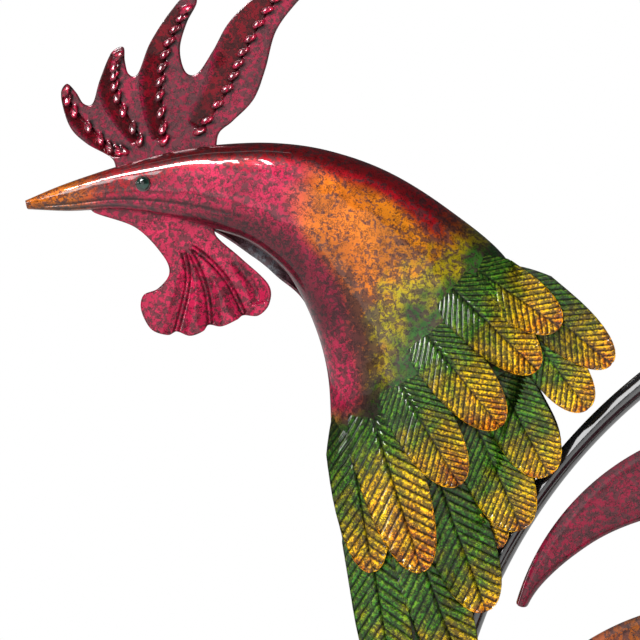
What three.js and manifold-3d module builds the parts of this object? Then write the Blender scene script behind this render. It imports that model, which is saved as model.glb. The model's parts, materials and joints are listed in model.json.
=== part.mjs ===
// Rooster garden whirligig: a painted sheet-metal rooster on a round bar ring, with a
// nine-vane wind wheel that turns inside the ring, and a two-part stake to push into soil.
// Millimetres. +X runs away from the beak, +Y to the rear, +Z up.
// The origin is on the pole axis at ground level.

import * as THREE from 'three';
import { mergeVertices } from 'three/addons/utils/BufferGeometryUtils.js';
import Module from 'manifold-3d';

const wasm = await Module();
wasm.setup();

// ---------------------------------------------------------------- driving dimensions

const GAP = 0.3; // clearance between pieces that touch
const HUB_HEIGHT = 850; // ground line to wheel axis
const RING_RADIUS = 235.5; // centreline of the ring bar
const BAR_RADIUS = 4.75; // 3/8 inch round bar
const RING_INSIDE = RING_RADIUS - BAR_RADIUS;
const RING_OUTSIDE = RING_RADIUS + BAR_RADIUS;

const SHEET = 1.2; // comb, wattle, tabs and vanes
const SHELL = 1; // neck half shells
const FEATHER = 0.8; // feather sheet
const SEAM = SHEET / 2 + GAP + 0.05; // rim of each half shell, measured from the middle plane
const RIM_LAND = 0.4; // straight lip along the rim before the shell curves out

const BOLT_RADIUS = 4; // M8 axle
const BOLT_HOLE = BOLT_RADIUS + GAP;
const HEX_SIZE = 13; // across the flats of an M8 head or nut
const HEX_HEIGHT = 6.8; // M8 nut
const HEAD_HEIGHT = 5.3; // M8 bolt head
const WASHER_RADIUS = 8;
const WASHER_DEPTH = 1.5;
const BOSS_RADIUS = 11;
const BOSS_HALF = 9; // half the length of the boss
const BEARING_RADIUS = 11; // 8 x 22 x 7 ball bearing
const BEARING_WIDTH = 7;
const BEARING_STOP = 9.5; // bore of the hub sleeve between its bearings
const HUB_SLEEVE_RADIUS = 14;
const HUB_PLATE_RADIUS = 36;
const HUB_PLATE_DEPTH = 1.5;
const VANE_COUNT = 9;
const VANE_PLANE = -23.9; // middle of the vane roots

const POLE_RADIUS = 6.35; // 1/2 inch tube
const POLE_WALL = 1.2;
const SLEEVE_BORE = POLE_RADIUS + 0.35;
const POLE_JOINT = 330; // height where the two pole halves meet
const SOCKET_RADIUS = 9.5;
const SOCKET_LENGTH = 65;
const SOCKET_TOP_WALL = 9;
const COUPLER_RADIUS = 9;
const COUPLER_REACH = 40; // half the length of the coupler
const SCREW_RADIUS = 2.4; // M5 thumb screw
const SCREW_HOLE = 2.7;
const KNOB_RADIUS = 7;
const KNOB_FRONT = 13; // knob faces, from the pole axis
const KNOB_BACK = 21;
const SPIKE_DEPTH = 180; // how far the stake goes into the soil
const SPIKE_TAPER = 32;
const PRONG_RADIUS = 4;
const PRONG_SPREAD = 58; // pole axis to prong

// Neck shell sections from the beak to the breast, from the wheel axis:
// back edge x and z, throat edge x and z, and depth of one half.
const NECK_SECTIONS = [
  [-415.9, 262.2, -415, 258.6, 1.8],
  [-399, 269.2, -398, 257.8, 5],
  [-376, 276.8, -374, 258.3, 8.5],
  [-352, 283.3, -350, 254.2, 12],
  [-332.8, 286.1, -331.7, 249, 14.5],
  [-308, 286.9, -317, 242.9, 16.5],
  [-284, 283.5, -304, 232.5, 18.5],
  [-258, 274.2, -295.3, 220.3, 20.5],
  [-232, 258, -288, 203.5, 22],
  [-207, 236.6, -283.8, 186.7, 23],
  [-197, 212, -282.4, 168, 23],
  [-201, 180, -282.4, 150, 22],
  [-210, 145, -280.2, 130, 20],
  [-221, 110, -275.4, 108, 17],
  [-232, 75, -270, 75, 14],
  [-239.5, 40, -264, 42, 11],
  [-243.5, 5, -257.5, 8, 8],
  [-245, -30, -250.5, -28, 5],
];

const COMB_OUTLINE = [
  [-377, 271], [-378, 280], [-389.6, 287], [-397, 294.5], [-401, 307.5], [-398.5, 313],
  [-394.5, 309.5], [-391, 304.4], [-387, 304.6], [-384, 315], [-379.5, 326], [-374, 329],
  [-373.2, 323], [-371.5, 317.3], [-367.5, 317.3], [-362.3, 330.8], [-353.5, 344.5],
  [-344.7, 353.3], [-342, 348.5], [-346.5, 339], [-349.2, 328], [-346.8, 318.3],
  [-341.5, 317.4], [-334.9, 327.1], [-328, 339.5], [-317, 350.5], [-303, 359.5],
  [-289, 365.5], [-289.5, 357], [-299, 347.5], [-307.6, 335.3], [-312, 319],
  [-317, 306], [-326, 296.6], [-332.2, 290.7], [-333, 279],
];

const WATTLE_OUTLINE = [
  [-386, 262], [-386.3, 257.2], [-368, 250.5], [-356, 238.5], [-353, 230.5], [-357.7, 224],
  [-364, 221], [-364.9, 214.5], [-360.5, 206.3], [-353.5, 203.8], [-349.6, 205.4],
  [-343.7, 203.4], [-338, 205.4], [-335.6, 208.3], [-330, 207.5], [-323.5, 210.3],
  [-320.6, 212.4], [-314, 212.2], [-309.3, 217.5], [-310, 226], [-322, 237.3],
  [-332.8, 247], [-333, 254],
];

const EYE = { x: -363.3, z: 268.4, radius: 3.1, height: 2.3 };

// Cape feathers of the near side: root x and z, tip x and z, width, and stacking height
// in feather steps.
const FEATHERS = [
  [-209, 231, -161, 190, 23, 6],
  [-197, 205, -171, 171, 21, 5],
  [-210, 184, -187, 143, 25, 4.2],
  [-220, 166, -198, 120, 26, 3],
  [-226, 150, -208, 112, 18, 0],
  [-236, 143, -213, 85, 26, 2.35],
  [-247, 121, -222, 55, 24, 0.95],
  [-266, 124, -252, 46, 23, 0],
  [-225, 234, -182, 207, 22, 9.4],
  [-236, 229, -192, 188, 24, 8],
  [-246, 211, -208, 163, 25, 6],
  [-257, 192, -225, 138, 25, 4.4],
  [-268, 184, -241, 101, 27, 3.4],
  [-276, 177, -262, 101, 23, 2],
  [-247, 58, -229, 6, 21, 2],
  [-256, 22, -240, -34, 18, 1],
];
const FEATHER_STEP = 1.35; // rise from one feather to the one lying on it
const FEATHER_LIFT = 1.7; // lowest feather above the shell
const FEATHER_WIDEST = 0.45; // where a feather starts to narrow, as a fraction of its length
const FEATHER_SIDE = 2.2; // power of the outline across the feather
const FEATHER_POINT = 2.3; // power of the outline along the feather
const CAPE_EDGE = 7.5; // height of the cape where it passes over the ring
const CAPE_EASE = 7; // how gently the cape leaves the neck
const CAPE_BLUR = 4; // reach of the smoothing of the neck under the cape

// The two stamped rows of the far side: root line, tip line and the feathers in each.
const BACK_REACH = 0.9; // how much of the way from root line to tip line they cover
const BACK_NOTCH = 0.22; // depth of the scallops between feather tips
const BACK_ROWS = [
  {
    name: 'cape_back_lower',
    feathers: 8,
    level: 0,
    roots: [[-206, 236], [-205, 205], [-216, 165], [-232, 132], [-246, 96], [-266, 60]],
    tips: [[-160, 206], [-172, 168], [-192, 122], [-211, 84], [-224, 48], [-247, 30]],
  },
  {
    name: 'cape_back_upper',
    feathers: 6,
    level: 2.2,
    roots: [[-222, 244], [-238, 222], [-250, 200], [-262, 176], [-273, 150]],
    tips: [[-183, 214], [-200, 176], [-221, 142], [-244, 106], [-268, 96]],
  },
];

// ---------------------------------------------------------------- solids

/** Drops everything but position and joins the shared corners. */
function welded(geometry) {
  const bare = geometry.clone();
  bare.deleteAttribute('normal');
  bare.deleteAttribute('uv');
  return mergeVertices(bare, 1e-4);
}

function toManifold(geometry) {
  const solid = welded(geometry);
  const vertProperties = new Float32Array(solid.attributes.position.array);
  const triVerts = new Uint32Array(solid.index.array);
  return new wasm.Manifold(new wasm.Mesh({ numProp: 3, vertProperties, triVerts }));
}

function fromManifold(manifold) {
  const { vertProperties, triVerts } = manifold.getMesh();
  const geometry = new THREE.BufferGeometry();
  geometry.setAttribute('position', new THREE.BufferAttribute(vertProperties, 3));
  geometry.setIndex(new THREE.BufferAttribute(triVerts, 1));
  geometry.computeVertexNormals();
  return geometry;
}

function cut(body, tool) {
  return fromManifold(toManifold(body).subtract(toManifold(tool)));
}

/** Signed volume of a closed mesh: positive when its faces point out. */
function signedVolume(positions, faces) {
  const corner = (index) => new THREE.Vector3().fromArray(positions, 3 * index);
  let sum = 0;
  for (let f = 0; f < faces.length; f += 3) {
    const [a, b, c] = [corner(faces[f]), corner(faces[f + 1]), corner(faces[f + 2])];
    sum += a.dot(b.cross(c)) / 6;
  }
  return sum;
}

/** Turns the faces of an indexed closed geometry so that they point out. */
function outward(geometry) {
  const faces = [...geometry.index.array];
  if (signedVolume(geometry.attributes.position.array, faces) < 0) {
    geometry.setIndex(faces.reverse());
  }
  geometry.computeVertexNormals();
  return geometry;
}

/** Indexed geometry of a closed mesh with its faces pointing out. */
function closedMesh(positions, faces) {
  const geometry = new THREE.BufferGeometry();
  geometry.setAttribute('position', new THREE.Float32BufferAttribute(positions, 3));
  geometry.setIndex(faces);
  return outward(geometry);
}

/**
 * A closed solid between two height fields. pointAt(u, v) gives x, z and the y of the
 * front and the back, for u and v from 0 to 1.
 */
function sheetSolid(uSteps, vSteps, pointAt) {
  const positions = [];
  for (const side of ['front', 'back']) {
    for (let i = 0; i <= uSteps; i += 1) {
      for (let j = 0; j <= vSteps; j += 1) {
        const point = pointAt(i / uSteps, j / vSteps);
        positions.push(point.x, point[side], point.z);
      }
    }
  }
  const columns = vSteps + 1;
  const back = (uSteps + 1) * columns;
  const faces = [];
  const quad = (a, b, c, d) => faces.push(a, b, c, a, c, d);
  for (let i = 0; i < uSteps; i += 1) {
    for (let j = 0; j < vSteps; j += 1) {
      const a = i * columns + j;
      quad(a, a + 1, a + 1 + columns, a + columns);
      quad(back + a, back + a + columns, back + a + columns + 1, back + a + 1);
    }
  }
  const rim = [];
  for (let j = 0; j < vSteps; j += 1) rim.push(j);
  for (let i = 0; i < uSteps; i += 1) rim.push(i * columns + vSteps);
  for (let j = vSteps; j > 0; j -= 1) rim.push(uSteps * columns + j);
  for (let i = uSteps; i > 0; i -= 1) rim.push(i * columns);
  rim.forEach((start, k) => {
    const end = rim[(k + 1) % rim.length];
    quad(end, start, back + start, back + end);
  });
  return closedMesh(positions, faces);
}

/** A flat plate cut from sheet in the middle plane, from points in x and z. */
function plate(outline, thickness, smooth) {
  const points = outline.map(([x, z]) => new THREE.Vector2(x, z));
  const shape = new THREE.Shape();
  shape.moveTo(points[0].x, points[0].y);
  if (smooth) shape.splineThru(points.slice(1));
  else points.slice(1).forEach((point) => shape.lineTo(point.x, point.y));
  const options = { depth: thickness, bevelEnabled: false, curveSegments: 2 };
  const geometry = new THREE.ExtrudeGeometry(shape, options);
  geometry.rotateX(Math.PI / 2);
  return geometry.translate(0, thickness / 2, 0);
}

/** Turns a profile of [radius, height] round the Y axis; the first point closes it. */
function turned(profile, segments = 24, closed = true) {
  const points = profile.map(([radius, height]) => new THREE.Vector2(radius, height));
  if (closed) points.push(points[0].clone());
  return outward(new THREE.LatheGeometry(points, segments));
}

/** A round tube or ring along Y, between two heights. */
function sleeve(inner, outer, low, high, segments = 24) {
  return turned([[inner, low], [outer, low], [outer, high], [inner, high]], segments);
}

/** A hexagonal nut or bolt head along Y with a round hole, or none if hole is 0. */
function hexagon(acrossFlats, hole, low, high) {
  const radius = acrossFlats / Math.sqrt(3);
  const body = new THREE.CylinderGeometry(radius, radius, high - low, 6);
  body.translate(0, (low + high) / 2, 0);
  if (hole === 0) return body;
  const drill = new THREE.CylinderGeometry(hole, hole, high - low + 2, 20);
  return cut(body, drill.translate(0, (low + high) / 2, 0));
}

/** A bar of round section bent along a smooth line through points. */
function bentBar(points, radius, steps) {
  const section = new THREE.Shape().absarc(0, 0, radius, 0, 2 * Math.PI);
  const path = new THREE.CatmullRomCurve3(points.map((p) => new THREE.Vector3(...p)));
  return new THREE.ExtrudeGeometry(section, { steps, extrudePath: path, curveSegments: 4 });
}

// ---------------------------------------------------------------- scene graph

const PAINT = {
  black: { color: 0x17171a, roughness: 0.28, metalness: 0.4 },
  steel: { color: 0x9a9da1, roughness: 0.35, metalness: 0.9 },
  red: { color: 0xb01e35, roughness: 0.3, metalness: 0.35 },
  orange: { color: 0xb8601e, roughness: 0.32, metalness: 0.4 },
  green: { color: 0x3f7a22, roughness: 0.3, metalness: 0.45 },
  gold: { color: 0xb98a1a, roughness: 0.3, metalness: 0.45 },
  eye: { color: 0x0d1a14, roughness: 0.1, metalness: 0 },
};

function add(group, name, geometry, paint) {
  const mesh = new THREE.Mesh(geometry, new THREE.MeshStandardMaterial(PAINT[paint]));
  mesh.name = name;
  group.add(mesh);
  return mesh;
}

const whirligig = new THREE.Group();
const atHub = new THREE.Group(); // ring, rooster and wheel, placed on the wheel axis
atHub.position.z = HUB_HEIGHT;
const stake = new THREE.Group();
whirligig.add(atHub, stake);

// ---------------------------------------------------------------- ring and axle

function addRing() {
  const ring = new THREE.TorusGeometry(RING_RADIUS, BAR_RADIUS, 8, 64);
  add(atHub, 'ring_frame', ring, 'black').rotation.x = Math.PI / 2;
  const start = BOSS_RADIUS + GAP;
  const length = RING_INSIDE - GAP - start;
  for (const [name, side] of [['strut_upper', 1], ['strut_lower', -1]]) {
    const rod = new THREE.CylinderGeometry(BAR_RADIUS, BAR_RADIUS, length, 12);
    const mesh = add(atHub, name, rod, 'black');
    mesh.rotation.x = Math.PI / 2;
    mesh.position.z = side * (start + length / 2);
  }
  add(atHub, 'hub_boss', sleeve(BOLT_HOLE, BOSS_RADIUS, -BOSS_HALF, BOSS_HALF), 'black');
}

// Faces along the axle, from the front of the hub to the back of the boss.
const FRONT_SEAT = { front: -38.8, back: -31.2 };
const REAR_SEAT = { front: -23.8, back: -16.2 };
const BOSS_GAP = BOSS_HALF + GAP; // faces of the nut and the washer beside the boss

function addAxle() {
  const headFront = BOSS_GAP + WASHER_DEPTH + GAP;
  const headBack = headFront + HEAD_HEIGHT;
  const acornBack = FRONT_SEAT.front - WASHER_DEPTH - GAP;
  const acornBore = acornBack - 8.4;
  const tip = acornBore + 1;
  const head = toManifold(hexagon(HEX_SIZE, 0, headFront, headBack));
  const shank = new THREE.CylinderGeometry(BOLT_RADIUS, BOLT_RADIUS, headFront + 1 - tip, 20);
  shank.translate(0, (headFront + 1 + tip) / 2, 0);
  add(atHub, 'axle_bolt', fromManifold(head.add(toManifold(shank))), 'steel');
  const rearWasher = sleeve(BOLT_HOLE, WASHER_RADIUS, BOSS_GAP, BOSS_GAP + WASHER_DEPTH);
  add(atHub, 'rear_washer', rearWasher, 'steel');
  const lockNut = hexagon(HEX_SIZE, BOLT_HOLE, -BOSS_GAP - HEX_HEIGHT, -BOSS_GAP);
  add(atHub, 'lock_nut', lockNut, 'steel');
  const spacer = sleeve(BOLT_HOLE, 6, FRONT_SEAT.back, REAR_SEAT.front);
  add(atHub, 'bearing_spacer', spacer, 'steel');
  const frontWasher = sleeve(BOLT_HOLE, WASHER_RADIUS, acornBack + GAP, FRONT_SEAT.front);
  add(atHub, 'front_washer', frontWasher, 'steel');
  const acorn = [
    [0, acornBack - 13.9], [3.5, acornBack - 13], [6, acornBack - 10.4], [7, acornBack - 6.9],
    [7, acornBack], [BOLT_HOLE, acornBack], [BOLT_HOLE, acornBore], [0, acornBore],
  ];
  add(atHub, 'acorn_nut', turned(acorn, 24, false), 'steel');
}

// ---------------------------------------------------------------- wind wheel

const VANE_ARC = { x: -97.9, z: 58.5, radius: 106.9 }; // outer edge of the first vane
const VANE_TIP_ANGLE = 164.5;
const VANE_ROOT_ANGLE = -21;
const VANE_WIDTHS = [5, 16, 27, 34, 35, 31, 26, 21, 17, 14]; // evenly spaced, tip to root
const VANE_PITCH = Math.tan(THREE.MathUtils.degToRad(20));
const VANE_BOW = 2.5; // how far the middle of a vane is pressed forward
const VANE_FLAT = { from: 0.6, to: 0.88 }; // where the pitch fades out towards the root

/** A sickle vane: its outer edge is one arc, and it twists from flat root to pitched tip. */
function vaneGeometry() {
  const widths = new THREE.SplineCurve(VANE_WIDTHS.map((w) => new THREE.Vector2(0, w)));
  const pointAt = (u, v) => {
    const degrees = THREE.MathUtils.lerp(VANE_TIP_ANGLE, VANE_ROOT_ANGLE, u);
    const angle = THREE.MathUtils.degToRad(degrees);
    const width = widths.getPoint(u).y;
    const radius = VANE_ARC.radius - width * v;
    const twist = 1 - THREE.MathUtils.smoothstep(u, VANE_FLAT.from, VANE_FLAT.to);
    const lean = VANE_PITCH * (v - 0.5) * width - VANE_BOW * 4 * v * (1 - v);
    const middle = VANE_PLANE + twist * lean;
    return {
      x: VANE_ARC.x + radius * Math.cos(angle),
      z: VANE_ARC.z + radius * Math.sin(angle),
      front: middle - SHEET / 2,
      back: middle + SHEET / 2,
    };
  };
  return sheetSolid(16, 2, pointAt);
}

function addWheel() {
  const vane = vaneGeometry();
  for (let n = 0; n < VANE_COUNT; n += 1) {
    const mesh = add(atHub, `vane_${n + 1}`, vane, 'red');
    mesh.rotation.y = (-2 * Math.PI * n) / VANE_COUNT;
  }
  const rear = VANE_PLANE + SHEET / 2 + GAP;
  const front = VANE_PLANE - SHEET / 2 - GAP;
  const plates = { hub_plate_rear: rear, hub_plate_front: front - HUB_PLATE_DEPTH };
  for (const [name, low] of Object.entries(plates)) {
    const bore = HUB_SLEEVE_RADIUS + GAP;
    add(atHub, name, sleeve(bore, HUB_PLATE_RADIUS, low, low + HUB_PLATE_DEPTH, 36), 'orange');
  }
  const seat = BEARING_RADIUS + GAP;
  const hub = [
    [seat, FRONT_SEAT.front], [HUB_SLEEVE_RADIUS, FRONT_SEAT.front],
    [HUB_SLEEVE_RADIUS, REAR_SEAT.back], [seat, REAR_SEAT.back],
    [seat, REAR_SEAT.front], [BEARING_STOP, REAR_SEAT.front],
    [BEARING_STOP, FRONT_SEAT.back], [seat, FRONT_SEAT.back],
  ];
  add(atHub, 'hub_sleeve', turned(hub), 'steel');
  for (const [name, { back }] of [['bearing_rear', REAR_SEAT], ['bearing_front', FRONT_SEAT]]) {
    const high = back - GAP;
    add(atHub, name, sleeve(BOLT_HOLE, BEARING_RADIUS, high - BEARING_WIDTH, high), 'steel');
  }
}

// ---------------------------------------------------------------- rooster

const backEdge = new THREE.SplineCurve(NECK_SECTIONS.map(([x, z]) => new THREE.Vector2(x, z)));
const throatEdge = new THREE.SplineCurve(NECK_SECTIONS.map((s) => new THREE.Vector2(s[2], s[3])));
const neckDepth = new THREE.SplineCurve(NECK_SECTIONS.map((s) => new THREE.Vector2(0, s[4])));

/** The half of the neck between sections from and to, shrunk by inset, filled to backY. */
function neckLens(inset, from, to, backY, steps) {
  const pointAt = (u, v) => {
    const along = THREE.MathUtils.lerp(from, to, u);
    const high = backEdge.getPoint(along);
    const low = throatEdge.getPoint(along);
    const half = high.clone().sub(low).multiplyScalar(0.5);
    const across = Math.cos(Math.PI * v) * (1 - inset / half.length());
    const middle = high.clone().add(low).multiplyScalar(0.5).addScaledVector(half, across);
    const bulge = (neckDepth.getPoint(along).y - inset) * Math.sin(Math.PI * v);
    return { x: middle.x, z: middle.y, front: -(SEAM + RIM_LAND + bulge), back: backY };
  };
  return sheetSolid(steps, 8, pointAt);
}

const neckOuter = neckLens(0, 0, 1, -SEAM, 30);
const neckShell = cut(neckOuter, neckLens(SHELL, 0.06, 0.985, 5, 28));

const probe = new THREE.Raycaster();
const probed = new THREE.Mesh(neckOuter, new THREE.MeshBasicMaterial({ side: THREE.DoubleSide }));

/** How far the neck stands out of the middle plane at x and z, or 0 beside it. */
function neckHeight(x, z) {
  probe.set(new THREE.Vector3(x, -200, z), new THREE.Vector3(0, 1, 0));
  const [hit] = probe.intersectObject(probed);
  return hit ? -hit.point.y : 0;
}

/** Height of the surface that the cape lies on: the neck, easing out over the ring. */
function capeHeight(x, z) {
  const far = CAPE_BLUR;
  const around = [[0, 0], [far, 0], [-far, 0], [0, far], [0, -far]];
  const sum = around.reduce((total, [dx, dz]) => total + neckHeight(x + dx, z + dz), 0);
  const neck = sum / around.length;
  return (neck + CAPE_EDGE + Math.hypot(neck - CAPE_EDGE, CAPE_EASE)) / 2;
}

function mirrored(geometry) {
  return outward(welded(geometry).scale(1, -1, 1));
}

/** A feather that narrows to a rounded tip, lying on the cape surface. */
function featherGeometry([rootX, rootZ, tipX, tipZ, width, level]) {
  const root = new THREE.Vector2(rootX, rootZ);
  const axis = new THREE.Vector2(tipX, tipZ).sub(root);
  const length = axis.length();
  axis.normalize();
  const pointAt = (u, v) => {
    const across = Math.sin(Math.PI * (v - 0.5));
    const taper = (1 - Math.abs(across) ** FEATHER_SIDE) ** (1 / FEATHER_POINT);
    const reach = length * (FEATHER_WIDEST + (1 - FEATHER_WIDEST) * taper);
    const spread = (width / 2) * (0.8 + 0.2 * THREE.MathUtils.smoothstep(u, 0, 0.5));
    const x = root.x + axis.x * reach * u - axis.y * spread * across;
    const z = root.y + axis.y * reach * u + axis.x * spread * across;
    const middle = -(capeHeight(x, z) + FEATHER_LIFT + FEATHER_STEP * level);
    return { x, z, front: middle - FEATHER / 2, back: middle + FEATHER / 2 };
  };
  return sheetSolid(7, 6, pointAt);
}

/** One stamped row of the far side, with a scallop for each feather tip. */
function backRowGeometry({ feathers, level, roots, tips }) {
  const rootLine = new THREE.SplineCurve(roots.map((p) => new THREE.Vector2(...p)));
  const tipLine = new THREE.SplineCurve(tips.map((p) => new THREE.Vector2(...p)));
  const pointAt = (u, v) => {
    const scallop = 1 - BACK_NOTCH * (1 - Math.abs(Math.sin(Math.PI * feathers * u)));
    const at = rootLine.getPoint(u).lerp(tipLine.getPoint(u), v * scallop * BACK_REACH);
    const middle = capeHeight(at.x, at.y) + FEATHER_LIFT + level;
    return { x: at.x, z: at.y, front: middle - FEATHER / 2, back: middle + FEATHER / 2 };
  };
  return sheetSolid(feathers * 4, 4, pointAt);
}

function eyeGeometry() {
  const rim = [0, 1, 2, 3, 4, 5].map((k) => (k * Math.PI) / 3);
  const reach = EYE.radius + GAP;
  const heightAt = (a) => neckHeight(EYE.x + reach * Math.cos(a), EYE.z + reach * Math.sin(a));
  const base = Math.max(...rim.map(heightAt)) + GAP;
  const { radius, height } = EYE;
  const dome = turned([[0, 0], [radius, 0], [radius * 0.8, height * 0.7], [0, height]], 16, false);
  return dome.rotateX(Math.PI).translate(EYE.x, -base, EYE.z);
}

/** A tab of sheet from the ring to the inside of the neck, at an angle round the ring. */
function tabGeometry(degrees, reach, width) {
  const start = RING_OUTSIDE + GAP;
  const half = width / 2;
  const corners = [[start, -half], [reach, -half], [reach, half], [start, half]];
  const tab = plate(corners, SHEET, false);
  return tab.rotateY(-THREE.MathUtils.degToRad(degrees));
}

function addRooster() {
  const eye = eyeGeometry();
  add(atHub, 'neck_shell_front', neckShell, 'orange');
  add(atHub, 'neck_shell_back', mirrored(neckShell), 'orange');
  add(atHub, 'comb', plate(COMB_OUTLINE, SHEET, true), 'red');
  add(atHub, 'wattle', plate(WATTLE_OUTLINE, SHEET, true), 'red');
  add(atHub, 'eye_front', eye, 'eye');
  add(atHub, 'eye_back', mirrored(eye), 'eye');
  add(atHub, 'ring_tab_upper', tabGeometry(147, 280, 14), 'black');
  add(atHub, 'ring_tab_lower', tabGeometry(172, 262, 12), 'black');
  FEATHERS.forEach((feather, n) => {
    add(atHub, `feather_${String(n + 1).padStart(2, '0')}`, featherGeometry(feather), 'green');
  });
  BACK_ROWS.forEach((row) => add(atHub, row.name, backRowGeometry(row), 'gold'));
}

// ---------------------------------------------------------------- stake

/** Thumb screw through a sleeve wall, pointing at the pole from the rear. */
function thumbScrew() {
  const profile = [
    [0, POLE_RADIUS + GAP], [SCREW_RADIUS, POLE_RADIUS + GAP], [SCREW_RADIUS, KNOB_FRONT],
    [KNOB_RADIUS, KNOB_FRONT], [KNOB_RADIUS, KNOB_BACK], [0, KNOB_BACK],
  ];
  return turned(profile, 20, false);
}

/** Cuts a clearance hole for each thumb screw into an upright sleeve. */
function drilled(geometry, heights) {
  const drill = new THREE.CylinderGeometry(SCREW_HOLE, SCREW_HOLE, KNOB_BACK, 16);
  drill.translate(0, KNOB_BACK / 2, 0);
  return heights.reduce((body, z) => cut(body, drill.clone().translate(0, 0, z)), geometry);
}

/** Turns a profile round the upright pole axis. */
function upright(profile, closed) {
  return turned(profile, 20, closed).rotateX(Math.PI / 2);
}

function addPole(socketFloor) {
  const bore = POLE_RADIUS - POLE_WALL;
  const low = POLE_JOINT + GAP;
  const high = socketFloor - GAP;
  const upper = [[bore, low], [POLE_RADIUS, low], [POLE_RADIUS, high], [bore, high]];
  add(stake, 'upper_pole', upright(upper, true), 'black');
  const boreEnd = -SPIKE_DEPTH + 2 * SPIKE_TAPER;
  const lower = [
    [0, -SPIKE_DEPTH], [POLE_RADIUS, -SPIKE_DEPTH + SPIKE_TAPER], [POLE_RADIUS, POLE_JOINT],
    [bore, POLE_JOINT], [bore, boreEnd], [0, boreEnd],
  ];
  add(stake, 'lower_pole', upright(lower, false), 'black');
}

/** One prong of the ground fork: out from the pole, then straight down. */
function prongGeometry(side) {
  const start = POLE_RADIUS + GAP + 0.1;
  const route = [
    [start, 0, 10], [24, 0, 10], [42, 0, 9], [PRONG_SPREAD - 4, 0, 2],
    [PRONG_SPREAD, 0, -16], [PRONG_SPREAD, 0, -80], [PRONG_SPREAD, 0, -SPIKE_DEPTH + 20],
  ];
  return bentBar(route.map(([x, y, z]) => [side * x, y, z]), PRONG_RADIUS, 14);
}

function addStake() {
  const socketTop = HUB_HEIGHT - RING_OUTSIDE - GAP - 0.1;
  const socketFloor = socketTop - SOCKET_TOP_WALL;
  const socketBottom = socketTop - SOCKET_LENGTH;
  const socketScrew = socketBottom + 20;
  const socket = upright([
    [0, socketTop], [SOCKET_RADIUS, socketTop], [SOCKET_RADIUS, socketBottom],
    [SLEEVE_BORE, socketBottom], [SLEEVE_BORE, socketFloor], [0, socketFloor],
  ], false);
  add(stake, 'pole_socket', drilled(socket, [socketScrew]), 'black');
  addPole(socketFloor);

  const couplerScrews = [POLE_JOINT - 24, POLE_JOINT + 24];
  const coupler = upright([
    [SLEEVE_BORE, POLE_JOINT - COUPLER_REACH], [COUPLER_RADIUS, POLE_JOINT - COUPLER_REACH],
    [COUPLER_RADIUS, POLE_JOINT + COUPLER_REACH], [SLEEVE_BORE, POLE_JOINT + COUPLER_REACH],
  ], true);
  add(stake, 'pole_coupler', drilled(coupler, couplerScrews), 'black');
  const screws = [
    ['socket_screw', socketScrew],
    ['coupler_screw_lower', couplerScrews[0]],
    ['coupler_screw_upper', couplerScrews[1]],
  ];
  for (const [name, height] of screws) {
    add(stake, name, thumbScrew(), 'steel').position.z = height;
  }
  for (const [name, side] of [['fork_prong_left', -1], ['fork_prong_right', 1]]) {
    add(stake, name, prongGeometry(side), 'black');
  }
}

addRing();
addAxle();
addWheel();
addRooster();
addStake();

export default whirligig;
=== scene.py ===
import json
import math

import bmesh
import bpy
import numpy as np
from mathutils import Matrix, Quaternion, Vector
from mathutils.bvhtree import BVHTree
from mathutils.geometry import delaunay_2d_cdt


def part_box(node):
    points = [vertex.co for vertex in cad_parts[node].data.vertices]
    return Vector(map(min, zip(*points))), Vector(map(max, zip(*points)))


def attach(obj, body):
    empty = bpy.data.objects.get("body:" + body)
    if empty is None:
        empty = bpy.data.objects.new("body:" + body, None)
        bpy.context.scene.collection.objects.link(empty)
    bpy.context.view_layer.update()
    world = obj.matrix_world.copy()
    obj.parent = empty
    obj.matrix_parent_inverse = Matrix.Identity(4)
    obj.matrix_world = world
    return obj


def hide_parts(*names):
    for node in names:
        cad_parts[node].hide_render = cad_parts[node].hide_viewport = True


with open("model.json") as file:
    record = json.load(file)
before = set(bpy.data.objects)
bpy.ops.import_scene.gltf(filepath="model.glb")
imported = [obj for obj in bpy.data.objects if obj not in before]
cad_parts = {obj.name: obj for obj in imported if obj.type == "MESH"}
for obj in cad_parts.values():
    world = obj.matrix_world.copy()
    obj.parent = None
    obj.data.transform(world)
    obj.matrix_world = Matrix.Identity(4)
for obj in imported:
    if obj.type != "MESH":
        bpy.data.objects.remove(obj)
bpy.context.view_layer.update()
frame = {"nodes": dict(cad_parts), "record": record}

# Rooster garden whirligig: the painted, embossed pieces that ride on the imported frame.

# ---- sizes from the frame

MM = 0.001
RING_LOW, RING_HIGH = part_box("ring_frame")
HUB = (Vector(RING_LOW) + Vector(RING_HIGH)) / 2
BAR_RADIUS = (RING_HIGH[1] - RING_LOW[1]) / 2
RING_RADIUS = (RING_HIGH[0] - RING_LOW[0]) / 2 - BAR_RADIUS
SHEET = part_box("comb")[1][1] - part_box("comb")[0][1]
SEAM = -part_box("neck_shell_front")[1][1]
VANE_COUNT = sum(name.startswith("vane_") for name in frame["nodes"])


def from_hub(points):
    """Points given in mm right of and above the wheel axis, as an array in metres."""
    return np.array(points, float) * MM + np.array([HUB.x, HUB.z])


def mm_from_hub(x, z):
    """Metres in x and z as mm right of and above the wheel axis."""
    return (x - HUB.x) / MM, (z - HUB.z) / MM


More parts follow.
